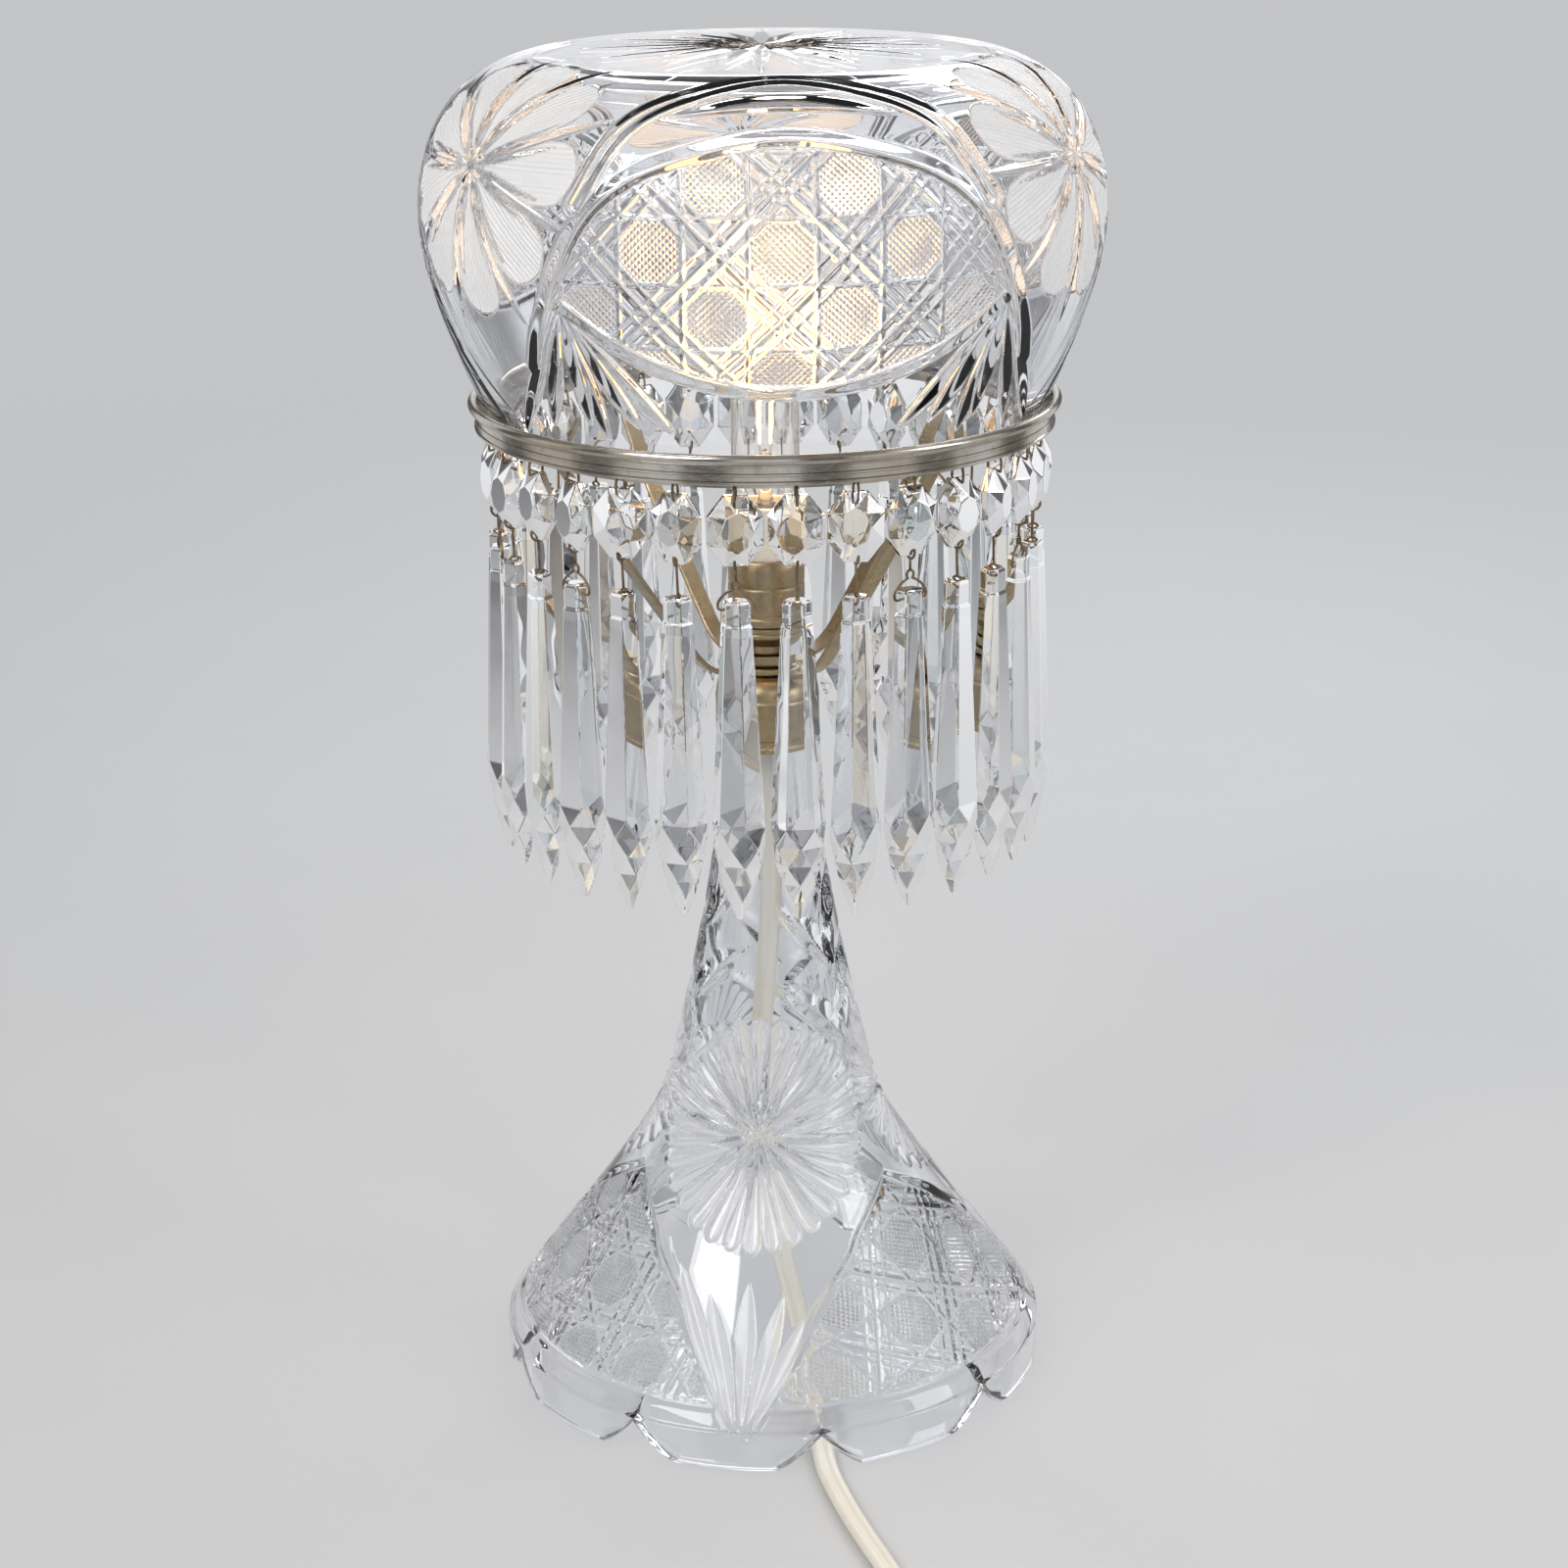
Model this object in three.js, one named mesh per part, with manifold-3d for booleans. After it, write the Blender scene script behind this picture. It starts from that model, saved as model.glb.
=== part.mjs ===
// A cut crystal table lamp: a hollow bell foot with a scalloped rim, a mushroom shade that lifts
// off its gallery ring, and a curtain of spear prisms that swing from the ring on wire links.
// Millimetres, +Z up, origin under the middle of the foot, -Y towards the viewer.

import * as THREE from 'three';
import { mergeVertices } from 'three/addons/utils/BufferGeometryUtils.js';
import Module from 'manifold-3d';

const wasm = await Module();
wasm.setup();

// Clearances
const seatGap = 0.3; // between two pieces that rest on or against each other
const overrun = 2; // how far a cutter reaches past what it cuts
const roundSides = 18; // flats on the small turned pieces

// Glass foot
const footRadius = 75;
const bandHeight = 12; // clear upright rim under the bell
const bandStep = 0.8; // ledge where the bell starts inside the rim
const waistRadius = 30;
const waistHeight = 80;
const neckRadius = 11.6;
const neckStart = 180; // where the neck becomes straight
const neckLength = 14; // straight neck inside the cap
const footWall = 6.4;
const neckWall = 4.8;
const scallops = 9;
const notchBearing = 9.65; // degrees from the front towards +X
const notchHalfWidth = 11.5;
const notchHeight = 10.5;
const footSides = 36;
const caneBearing = 53; // middle of one of the foot's three panels of cane work
const caneHalfWidth = 60; // degrees, at the panel's foot
const caneRows = 4.5; // rows of corners up to the panel's point
const bossDepth = 1.2; // cuts between the bosses of the cane work

// Cap, threaded pipe, hub and nut on top of the neck
const capWall = 0.8;
const capHeight = 20;
const capRoof = 1.4;
const plasterThickness = 0.8;
const plasterHeight = 10;
const pipeRadius = 4.8;
const pipeBore = 3.6;
const pipeBelowRoof = 9;
const hubRadius = 9.5;
const hubThickness = 1.8;
const nutAcrossFlats = 14;
const nutThickness = 2.5;

// Socket and bulb
const socketCapFoot = 6.8;
const socketCapHeight = 8;
const socketCapWall = 0.8;
const shellRadius = 10;
const shellWall = 0.5;
const shellHeight = 17.7;
const sleeveRadius = 8.6;
const sleeveWall = 0.9;
const sleeveAboveShell = 14;
const socketBodyHeight = 9.5;
const screwShellWall = 0.5;
const screwShellHeight = 18;
const bulbBaseRadius = 5.95;
const bulbBaseWall = 0.4;
const bulbBaseHeight = 21;
const contactRadius = 2.4;
const contactHeight = 1.6;
const bulbRadius = 8.9;
const bulbLength = 86; // glass above the sleeve
const bulbWall = 0.9;
const bulbNeckDepth = 4;
const bulbShoulder = 8;
const stemRadius = 1.8;
const stemLength = 20;
const filamentTop = 66; // above the sleeve
const filamentRadius = 0.35;
const filamentHalfWidth = 2.6;

// Gallery ring
const galleryHeight = 268.2; // underside of the shelf that carries the shade
const hangRadius = 70; // circle of the holes for the strands
const bandRadius = 74.6; // outside of the ring's band
const ringSheet = 0.8;
const ringBandDrop = 1; // band below the shelf
const ringBandRise = 4; // band above the shelf's underside, up to the bead
const beadRadius = 1.3;
const shelfInset = 3.5; // shelf inside the circle of holes
const skirtThickness = 0.5;
const skirtBelowHole = 1.3;
const holeDrop = 1.3; // hole centre below the shelf
const holeWidth = 1.5; // of each square hole
const ringSides = 60;

// Spider arms
const arms = 4;
const armBearing = 39;
const armWidth = 5;
const armThickness = 1.2;
const armKneeRadius = 27;
const armKneeRise = 10; // knee above the hub
const armTopInset = 3.6; // where the foot of the arm bends, inside the circle of holes

// Shade
const shadeRadius = 87;
const shadeBellyRise = 52.7; // widest place above the rim
const shadeHeight = 93.2;
const shadeWall = 5.2;
const shadeRimPlay = 2.8; // between the rim and the ring's band
const crownRadius = 58; // where the wall turns into the top
const crownDrop = 1.8; // edge of the top below its middle
const shadeSides = 48;
const eyeBearing = 3.75; // middle of one of the shade's three eye-shaped panels
const eyeHalfWidth = 40; // degrees
const eyeHalfRows = 2.7; // rows of corners from the widest place to the panel's edge

// Strands
const strands = 30;
const strandBearing = 6;
const wireRadius = 0.3;
const loopRadius = 1.9;
const loopLength = 5.4; // between the two ends of the upper wire loop
const beadWidth = 13.8;
const beadLength = 17.5;
const beadTable = 0.44; // flat table for each unit of width and length
const beadThickness = 7;
const beadEdge = 1.6;
const holeInset = 2.5; // drilled holes inside the edges of the octagon and the prism
const linkLength = 13.5; // from the octagon's lower hole to the prism's hole
const prismLength = 82.5;
const prismHeadWidth = 7.6;
const prismHeadHeight = 6.6;
const prismTopWidth = 8.2;
const prismWidth = 12.8;
const prismShoulder = 58; // widest place below the top
const prismTipWidth = 2.2;
const prismFlatness = 0.8; // thickness for each unit of width

// Cord and plug
const cordWidth = 5.8;
const cordThickness = 2.9;
const cordLift = 0.05; // above the table
const coilCentre = new THREE.Vector2(-2.5, -182);
const coilStart = 17; // degrees, where the cord runs onto the coil
const coilMidRadius = 35;
const coilPitch = 6.35;
const coilTurnsPerLayer = 3.15;
const coilLayerRise = 3.4;
const coilReversalDip = 2; // the innermost half turn lies this much further in
const coilStepsPerTurn = 24;
const coilLead = 6; // straight end of the coil
const tailLength = 36;
const plugLength = 30;
const plugWidth = 22;
const plugThickness = 13;
const plugReliefLength = 10;
const bladeLength = 16;
const bladeWidth = 6.3;
const bladeThickness = 1.5;
const bladeSpacing = 12.7;

// Heights that follow from the sizes above
const neckTop = neckStart + neckLength;
const capBottom = neckStart;
const capTop = capBottom + capHeight;
const capRoofUnderside = capTop - capRoof;
const hubBottom = capTop + seatGap;
const hubTop = hubBottom + hubThickness;
const nutBottom = hubTop + seatGap;
const nutTop = nutBottom + nutThickness;
const socketCapBottom = nutTop + seatGap;
const socketCapTop = socketCapBottom + socketCapHeight;
const pipeTop = socketCapBottom + socketCapWall + 2;
const cordTop = pipeTop + 1;
const socketBodyBottom = cordTop + seatGap;
const socketBodyTop = socketBodyBottom + socketBodyHeight;
const shellBottom = socketCapTop + seatGap;
const shellTop = shellBottom + shellHeight;
const sleeveTop = shellTop + sleeveAboveShell;
const bulbTop = sleeveTop + bulbLength;
const holeHeight = galleryHeight - holeDrop;
const shelfTop = galleryHeight + ringSheet;
const beadHeight = galleryHeight + ringBandRise + beadRadius;
const rimHeight = shelfTop + seatGap;
const rimRadius = bandRadius - ringSheet - shadeRimPlay;
const shadeTop = rimHeight + shadeHeight;

// Materials
const paint = (color, roughness, metalness) => ({ color, roughness, metalness, flatShading: true });
const finishes = {
  crystal: { ...paint(0xdfe3ea, 0.05, 0), transparent: true, opacity: 0.4 },
  prism: { ...paint(0xe9ecf2, 0.03, 0), transparent: true, opacity: 0.55 },
  bulb: { ...paint(0xfff2dc, 0.03, 0), transparent: true, opacity: 0.3 },
  nickel: paint(0xa59d8e, 0.3, 1),
  brass: paint(0x9a8559, 0.4, 1),
  steel: paint(0xb9b6ae, 0.3, 1),
  plaster: paint(0xd9d3c5, 0.9, 0),
  porcelain: paint(0xe6e0d2, 0.5, 0),
  card: paint(0xd8c9a8, 0.8, 0),
  cord: paint(0xe9e4d6, 0.5, 0),
};

const lamp = new THREE.Group();

function add(name, finish, geometry, bearing = 0) {
  const mesh = new THREE.Mesh(geometry, new THREE.MeshStandardMaterial(finishes[finish]));
  mesh.name = name;
  mesh.rotation.z = THREE.MathUtils.degToRad(bearing);
  lamp.add(mesh);
  return mesh;
}

// Closed meshes

// Merges the vertices, drops the triangles that have no area and turns the faces outwards.
function closed(geometry) {
  geometry.deleteAttribute('normal');
  geometry.deleteAttribute('uv');
  const merged = mergeVertices(geometry, 1e-4);
  const position = merged.getAttribute('position');
  const old = merged.getIndex().array;
  const corner = (i) => new THREE.Vector3().fromBufferAttribute(position, i);
  const kept = [];
  let volume = 0;
  for (let i = 0; i < old.length; i += 3) {
    const [a, b, c] = [old[i], old[i + 1], old[i + 2]];
    if (a === b || b === c || c === a) continue;
    kept.push([a, b, c]);
    volume += corner(a).dot(corner(b).cross(corner(c)));
  }
  merged.setIndex(kept.flatMap(([a, b, c]) => (volume > 0 ? [a, b, c] : [a, c, b])));
  return merged;
}

const solid = (geometry) => {
  const mesh = closed(geometry);
  return new wasm.Manifold(new wasm.Mesh({
    numProp: 3,
    vertProperties: new Float32Array(mesh.getAttribute('position').array),
    triVerts: new Uint32Array(mesh.getIndex().array),
  }));
};

function geometryOf(manifold) {
  const mesh = manifold.getMesh();
  const geometry = new THREE.BufferGeometry();
  geometry.setAttribute('position', new THREE.BufferAttribute(mesh.vertProperties, 3));
  geometry.setIndex(new THREE.BufferAttribute(mesh.triVerts, 1));
  return geometry;
}

// A body of revolution about Z from [radius, height] pairs that close on themselves or on the axis.
function revolved(profile, sides) {
  const points = profile.map(([radius, height]) => new THREE.Vector2(radius, height));
  if (points[0].x > 0) points.push(points[0].clone());
  return closed(new THREE.LatheGeometry(points, sides).rotateX(Math.PI / 2));
}

const tube = (outer, inner, bottom, top, sides = roundSides) =>
  revolved([[outer, bottom], [outer, top], [inner, top], [inner, bottom]], sides);

// Joins rings of equally many points into one skin, with flat ends unless the skin is endless.
function lofted(rings, endless = false) {
  const count = rings[0].length;
  const index = [];
  const bands = endless ? rings.length : rings.length - 1;
  for (let i = 0; i < bands; i += 1) {
    const here = i * count;
    const there = ((i + 1) % rings.length) * count;
    for (let k = 0; k < count; k += 1) {
      const next = (k + 1) % count;
      index.push(here + k, here + next, there + k, here + next, there + next, there + k);
    }
  }
  const last = (rings.length - 1) * count;
  for (let k = 1; k < count - 1 && !endless; k += 1) {
    index.push(0, k + 1, k, last, last + k, last + k + 1);
  }
  const geometry = new THREE.BufferGeometry().setFromPoints(rings.flat());
  geometry.setIndex(index);
  return closed(geometry);
}

// The points of a flat-sided oval section, [across, up], with a flat side above and below.
function oval(width, thickness, sides) {
  const reach = 1 / Math.cos(Math.PI / sides);
  const turn = (k) => ((k + 0.5) / sides) * 2 * Math.PI;
  return Array.from({ length: sides }, (_, k) => [
    (width / 2) * reach * Math.cos(turn(k)),
    (thickness / 2) * reach * Math.sin(turn(k)),
  ]);
}

// Carries a section along a path. upAt gives the direction that the section's top leans towards.
function swept(path, section, upAt, endless = false) {
  const last = path.length - 1;
  const at = (i) => (endless ? path[(i + path.length) % path.length] : path[Math.min(Math.max(i, 0), last)]);
  return lofted(path.map((point, i) => {
    const along = at(i + 1).clone().sub(at(i - 1)).normalize();
    const side = upAt(along, i).cross(along).normalize();
    const up = along.clone().cross(side);
    return section.map(([a, b]) => point.clone().addScaledVector(side, a).addScaledVector(up, b));
  }), endless);
}

// Points on a run of cubic curves, each from where the last one ended.
function curve(start, pieces, steps) {
  const points = [start];
  for (const [a, b, end] of pieces) {
    const from = points.at(-1);
    const bezier = new THREE.CubicBezierCurve(...[from, a, b, end].map((p) => new THREE.Vector2(...p)));
    points.push(...bezier.getPoints(steps).slice(1).map((p) => [p.x, p.y]));
  }
  return points;
}

// The same outline moved to its left by wallAt(height), which is inwards on an outline that climbs.
function inset(outline, wallAt) {
  return outline.map(([radius, height], i) => {
    const before = outline[Math.max(i - 1, 0)];
    const after = outline[Math.min(i + 1, outline.length - 1)];
    const run = new THREE.Vector2(after[0] - before[0], after[1] - before[1]).normalize();
    const wall = wallAt(height);
    return [radius - run.y * wall, height + run.x * wall];
  });
}

// Presses in every second corner of a turned wall's outside, in three panels. The corners left
// between them stand as the bosses of the cane work. holds(offset, row) says where a panel is.
function bossed(geometry, outline, sides, bearing, holds) {
  const position = geometry.getAttribute('position');
  const third = 120;
  const column = 360 / sides;
  for (let i = 0; i < position.count; i += 1) {
    const corner = new THREE.Vector3().fromBufferAttribute(position, i);
    const radius = Math.hypot(corner.x, corner.y);
    const row = outline.findIndex(([out, height]) => Math.hypot(out - radius, height - corner.z) < 0.01);
    const turn = THREE.MathUtils.radToDeg(Math.atan2(corner.x, -corner.y));
    const offset = THREE.MathUtils.euclideanModulo(turn - bearing + third / 2, third) - third / 2;
    const odd = (Math.floor(offset / column + 0.01) + row) % 2 !== 0;
    if (row < 1 || !odd || !holds(Math.abs(offset), row)) continue;
    const pressed = (radius - bossDepth) / radius;
    position.setXYZ(i, corner.x * pressed, corner.y * pressed, corner.z);
  }
  return geometry;
}

// Glass foot: rim band, bell, neck and the notches that scallop the rim

function glassFoot() {
  const bellRadius = footRadius - bandStep;
  const outline = curve([bellRadius, bandHeight], [
    [
      [waistRadius + 0.81 * (bellRadius - waistRadius), bandHeight + 0.22 * (waistHeight - bandHeight)],
      [waistRadius + 0.12 * (bellRadius - waistRadius), bandHeight + 0.735 * (waistHeight - bandHeight)],
      [waistRadius, waistHeight],
    ],
    [
      [waistRadius - 0.4 * (waistRadius - neckRadius), waistHeight + 0.25 * (neckStart - waistHeight)],
      [neckRadius + 0.1 * (waistRadius - neckRadius), waistHeight + 0.7 * (neckStart - waistHeight)],
      [neckRadius, neckStart],
    ],
  ], 5);
  const wallAt = (height) => THREE.MathUtils.lerp(footWall, neckWall, height / neckStart);
  const inside = inset(outline, wallAt);
  const profile = [
    [footRadius, 0],
    [footRadius, bandHeight],
    ...outline,
    [neckRadius, neckTop],
    [neckRadius - neckWall, neckTop],
    ...inside.reverse(),
    [footRadius - footWall, 0],
  ];
  const inPanel = (offset, row) => offset < caneHalfWidth * (1 - row / caneRows);
  let glass = solid(bossed(revolved(profile, footSides), outline, footSides, caneBearing, inPanel));

  const arch = new THREE.Shape();
  arch.moveTo(-notchHalfWidth, -overrun);
  arch.lineTo(-notchHalfWidth, 0);
  arch.quadraticCurveTo(-0.5 * notchHalfWidth, 0.3 * notchHeight, 0, notchHeight);
  arch.quadraticCurveTo(0.5 * notchHalfWidth, 0.3 * notchHeight, notchHalfWidth, 0);
  arch.lineTo(notchHalfWidth, -overrun);
  for (let k = 0; k < scallops; k += 1) {
    const cutter = new THREE.ExtrudeGeometry(arch, {
      depth: 2 * footWall + overrun,
      bevelEnabled: false,
      curveSegments: 3,
    });
    cutter.rotateX(Math.PI / 2);
    cutter.translate(0, -footRadius + 2 * footWall, 0);
    cutter.rotateZ(THREE.MathUtils.degToRad(notchBearing + (360 / scallops) * k));
    glass = glass.subtract(solid(cutter));
  }
  return geometryOf(glass);
}

add('glass_base', 'crystal', glassFoot());

// Cap on the neck, with the plaster that holds it, the threaded pipe and the nut

const capInner = neckRadius + plasterThickness + 2 * seatGap;
const capRadius = capInner + capWall;
const pipeHole = pipeRadius + seatGap;

add('fitter_cap', 'brass', revolved([
  [capRadius, capBottom],
  [capRadius, capTop - 5],
  [capRadius - 0.6, capTop - 2.4],
  [capRadius - 2.4, capTop - 0.6],
  [capRadius - 4.6, capTop],
  [pipeHole, capTop],
  [pipeHole, capRoofUnderside],
  [capInner - 2.5, capRoofUnderside],
  [capInner, capTop - 5],
  [capInner, capBottom],
], roundSides));
const plasterInner = neckRadius + seatGap;
add('plaster_ring', 'plaster', tube(
  plasterInner + plasterThickness,
  plasterInner,
  capBottom + 1,
  capBottom + 1 + plasterHeight,
));
add('threaded_pipe', 'brass', tube(pipeRadius, pipeBore, capTop - pipeBelowRoof, pipeTop));
add('spider_hub', 'brass', tube(hubRadius, pipeHole, hubBottom, hubTop));

function hexNut() {
  const corner = nutAcrossFlats / 2 / Math.cos(Math.PI / 6);
  const flats = new THREE.Shape(Array.from({ length: 6 }, (_, k) => {
    const turn = (k / 6) * 2 * Math.PI;
    return new THREE.Vector2(corner * Math.cos(turn), corner * Math.sin(turn));
  }));
  flats.holes.push(new THREE.Path().absarc(0, 0, pipeHole, 0, 2 * Math.PI));
  const nut = new THREE.ExtrudeGeometry(flats, { depth: nutThickness, bevelEnabled: false, curveSegments: 10 });
  return closed(nut.translate(0, 0, nutBottom));
}

add('lock_nut', 'brass', hexNut());

// Spider arms: flat strips that climb from the hub to the underside of the gallery shelf

function spiderArm() {
  const height = hubBottom + hubThickness / 2;
  const footHeight = galleryHeight - seatGap - armThickness / 2;
  const footEnd = hangRadius - skirtThickness / 2 - seatGap - 0.4;
  const bend = [hangRadius - armTopInset, footHeight];
  const line = curve([hubRadius + seatGap, height], [
    [
      [hubRadius + 0.62 * (armKneeRadius - hubRadius), height],
      [armKneeRadius - 3.5, height + armKneeRise - 4.5],
      [armKneeRadius, height + armKneeRise],
    ],
    [
      [armKneeRadius + 12, height + armKneeRise + 15.5],
      [bend[0] - 8, bend[1] - 13],
      [bend[0] - 1.2, bend[1] - 1.6],
    ],
    [
      [bend[0] - 0.7, bend[1] - 0.8],
      [bend[0] - 0.3, bend[1]],
      [footEnd, bend[1]],
    ],
  ], 4);
  const path = line.map(([radius, z]) => new THREE.Vector3(0, -radius, z));
  const strip = [[-1, -1], [1, -1], [1, 1], [-1, 1]].map(([a, b]) => [a * armWidth / 2, b * armThickness / 2]);
  return swept(path, strip, () => new THREE.Vector3(0, 0.3, 1));
}

for (let k = 0; k < arms; k += 1) {
  add(`spider_arm_${k + 1}`, 'brass', spiderArm(), armBearing + (360 / arms) * k);
}

// Socket

const socketBodyRadius = sleeveRadius - sleeveWall - seatGap;
const screwShellBottom = socketBodyTop + seatGap;
const screwShellTop = screwShellBottom + screwShellHeight;
const screwShellInner = bulbBaseRadius + seatGap;

add('socket_cap', 'brass', revolved([
  [pipeHole, socketCapBottom],
  [socketCapFoot, socketCapBottom],
  [socketCapFoot, socketCapBottom + 2.6],
  [shellRadius - 0.8, socketCapTop - 3.6],
  [shellRadius + 0.4, socketCapTop - 2.6],
  [shellRadius + 0.4, socketCapTop],
  [shellRadius + 0.4 - socketCapWall, socketCapTop],
  [shellRadius + 0.4 - socketCapWall, socketCapTop - 2.2],
  [socketCapFoot - socketCapWall, socketCapBottom + 2.9],
  [socketCapFoot - socketCapWall, socketCapBottom + socketCapWall],
  [pipeHole, socketCapBottom + socketCapWall],
], roundSides));
add('socket_shell', 'brass', revolved([
  [shellRadius, shellBottom],
  [shellRadius, shellTop - 1.4],
  [shellRadius - 0.5, shellTop - 0.3],
  [shellRadius - 0.8, shellTop],
  [sleeveRadius + seatGap, shellTop],
  [sleeveRadius + seatGap, shellTop - shellWall],
  [shellRadius - shellWall, shellTop - 1.6],
  [shellRadius - shellWall, shellBottom],
], roundSides));
add('socket_sleeve', 'card', tube(sleeveRadius, sleeveRadius - sleeveWall, shellBottom + 1, sleeveTop));
add('socket_body', 'porcelain', revolved([
  [0, socketBodyBottom],
  [socketCapFoot - socketCapWall - seatGap, socketBodyBottom],
  [socketBodyRadius, socketBodyBottom + 3],
  [socketBodyRadius, socketBodyTop],
  [0, socketBodyTop],
], roundSides));
add('screw_shell', 'brass', tube(screwShellInner + screwShellWall, screwShellInner, screwShellBottom, screwShellTop));
add('centre_contact', 'brass', revolved([
  [0, screwShellBottom],
  [contactRadius, screwShellBottom],
  [contactRadius, screwShellBottom + contactHeight],
  [0, screwShellBottom + contactHeight],
], 16));

// Bulb: screw base, tip, glass tube, stem and hairpin filament

const tipBottom = screwShellBottom + contactHeight + seatGap;
const tipTop = tipBottom + contactHeight;
const bulbBaseBottom = tipTop + seatGap;
const bulbBaseTop = bulbBaseBottom + bulbBaseHeight;
const bulbNeckRadius = bulbBaseRadius - bulbBaseWall - seatGap;
const bulbGlassBottom = bulbBaseTop - bulbNeckDepth;
const bulbShoulderTop = bulbBaseTop + bulbShoulder;
const stemBottom = bulbGlassBottom;
const stemTop = stemBottom + stemLength;

add('bulb_tip', 'steel', revolved([
  [0, tipBottom],
  [contactRadius * 0.7, tipBottom],
  [contactRadius, tipTop],
  [0, tipTop],
], 16));
add('bulb_base', 'steel', revolved([
  [0, bulbBaseBottom],
  [contactRadius + 0.4, bulbBaseBottom],
  [bulbBaseRadius, bulbBaseBottom + 3],
  [bulbBaseRadius, bulbBaseTop],
  [bulbBaseRadius - bulbBaseWall, bulbBaseTop],
  [bulbBaseRadius - bulbBaseWall, bulbBaseBottom + 3.4],
  [0, bulbBaseBottom + 1],
], roundSides));

function bulbGlass() {
  const domeStart = bulbTop - bulbRadius;
  const outline = [
    [bulbNeckRadius, bulbGlassBottom],
    [bulbNeckRadius, bulbBaseTop + 0.5],
    ...curve([bulbNeckRadius, bulbBaseTop + 0.5], [[
      [bulbNeckRadius, bulbBaseTop + 0.5 * bulbShoulder],
      [bulbRadius, bulbBaseTop + 0.4 * bulbShoulder],
      [bulbRadius, bulbShoulderTop],
    ]], 3).slice(1),
    [bulbRadius, domeStart],
  ];
  const dome = (radius) => [1, 2, 3].map((k) => {
    const turn = (k / 4) * (Math.PI / 2);
    return [radius * Math.cos(turn), domeStart + radius * Math.sin(turn)];
  });
  const inner = bulbRadius - bulbWall;
  return revolved([
    ...outline,
    ...dome(bulbRadius),
    [0, bulbTop],
    [0, bulbTop - bulbWall],
    ...dome(inner).reverse(),
    ...outline.map(([radius, height]) => [radius - bulbWall, height]).reverse(),
  ], roundSides);
}

add('bulb_glass', 'bulb', bulbGlass());
add('bulb_stem', 'bulb', revolved([
  [0, stemBottom],
  [bulbNeckRadius - bulbWall - seatGap, stemBottom],
  [stemRadius, stemBottom + 5],
  [stemRadius, stemTop],
  [0, stemTop + 1],
], 16));

function filament() {
  const bottom = stemTop + 1 + seatGap;
  const top = sleeveTop + filamentTop;
  const bridge = 1.2;
  const path = [
    new THREE.Vector3(0, 0, bottom),
    new THREE.Vector3(-filamentHalfWidth * 0.5, 0, bottom + bridge),
    new THREE.Vector3(-filamentHalfWidth, 0, bottom + 4 * bridge),
    new THREE.Vector3(-filamentHalfWidth, 0, top - 4 * bridge),
    new THREE.Vector3(-filamentHalfWidth * 0.6, 0, top - bridge),
    new THREE.Vector3(0, 0, top),
    new THREE.Vector3(filamentHalfWidth * 0.6, 0, top - bridge),
    new THREE.Vector3(filamentHalfWidth, 0, top - 4 * bridge),
    new THREE.Vector3(filamentHalfWidth, 0, bottom + 6 * bridge),
  ];
  const wire = oval(2 * filamentRadius, 2 * filamentRadius, 6);
  return swept(path, wire, () => new THREE.Vector3(0, 1, 0));
}

add('bulb_filament', 'steel', filament());

// Gallery ring: rolled bead, band, shelf for the shade and a drilled skirt for the strands

function galleryRing() {
  const inner = bandRadius - ringSheet;
  const bead = [-45, 15, 75, 135].map((degrees) => {
    const turn = THREE.MathUtils.degToRad(degrees);
    const middle = inner + 0.1 + beadRadius;
    return [middle + beadRadius * Math.cos(turn), beadHeight + beadRadius * Math.sin(turn)];
  });
  const skirtBottom = holeHeight - skirtBelowHole;
  let ring = solid(revolved([
    [hangRadius - shelfInset, galleryHeight],
    [hangRadius - skirtThickness / 2, galleryHeight],
    [hangRadius - skirtThickness / 2, skirtBottom],
    [hangRadius + skirtThickness / 2, skirtBottom],
    [hangRadius + skirtThickness / 2, galleryHeight],
    [inner, galleryHeight],
    [inner, galleryHeight - ringBandDrop],
    [bandRadius, galleryHeight - ringBandDrop],
    [bandRadius, galleryHeight + ringBandRise],
    ...bead,
    [inner, shelfTop],
    [hangRadius - shelfInset, shelfTop],
  ], ringSides));
  const drill = new THREE.BoxGeometry(holeWidth, skirtThickness + overrun, holeWidth);
  drill.translate(0, -hangRadius, holeHeight);
  for (let k = 0; k < strands; k += 1) {
    const turned = drill.clone();
    turned.rotateZ(THREE.MathUtils.degToRad(strandBearing + (360 / strands) * k));
    ring = ring.subtract(solid(turned));
  }
  return geometryOf(ring);
}

add('gallery_ring', 'nickel', galleryRing());

// Shade: a mushroom of thick glass, open below

function glassShade() {
  const belly = rimHeight + shadeBellyRise;
  const crownHeight = shadeTop - crownDrop;
  const upper = crownHeight - belly;
  const outline = curve([rimRadius, rimHeight], [
    [
      [rimRadius + 0.41 * (shadeRadius - rimRadius), rimHeight + 0.3 * shadeBellyRise],
      [shadeRadius, rimHeight + 0.66 * shadeBellyRise],
      [shadeRadius, belly],
    ],
    [
      [shadeRadius, belly + 0.48 * upper],
      [crownRadius + 0.7 * (shadeRadius - crownRadius), belly + 0.9 * upper],
      [crownRadius, crownHeight],
    ],
  ], 4);
  const inside = inset(outline, () => shadeWall);
  inside[0] = [rimRadius - shadeWall, rimHeight];
  const bellyRow = 4;
  const inEye = (offset, row) => Math.hypot(offset / eyeHalfWidth, (row - bellyRow) / eyeHalfRows) < 1;
  const glass = revolved([
    ...outline,
    [0.5 * crownRadius, shadeTop - 0.2 * crownDrop],
    [0, shadeTop],
    [0, shadeTop - shadeWall],
    [0.5 * crownRadius, shadeTop - 0.2 * crownDrop - shadeWall],
    ...inside.reverse(),
  ], shadeSides);
  return bossed(glass, outline, shadeSides, eyeBearing, inEye);
}

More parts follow.
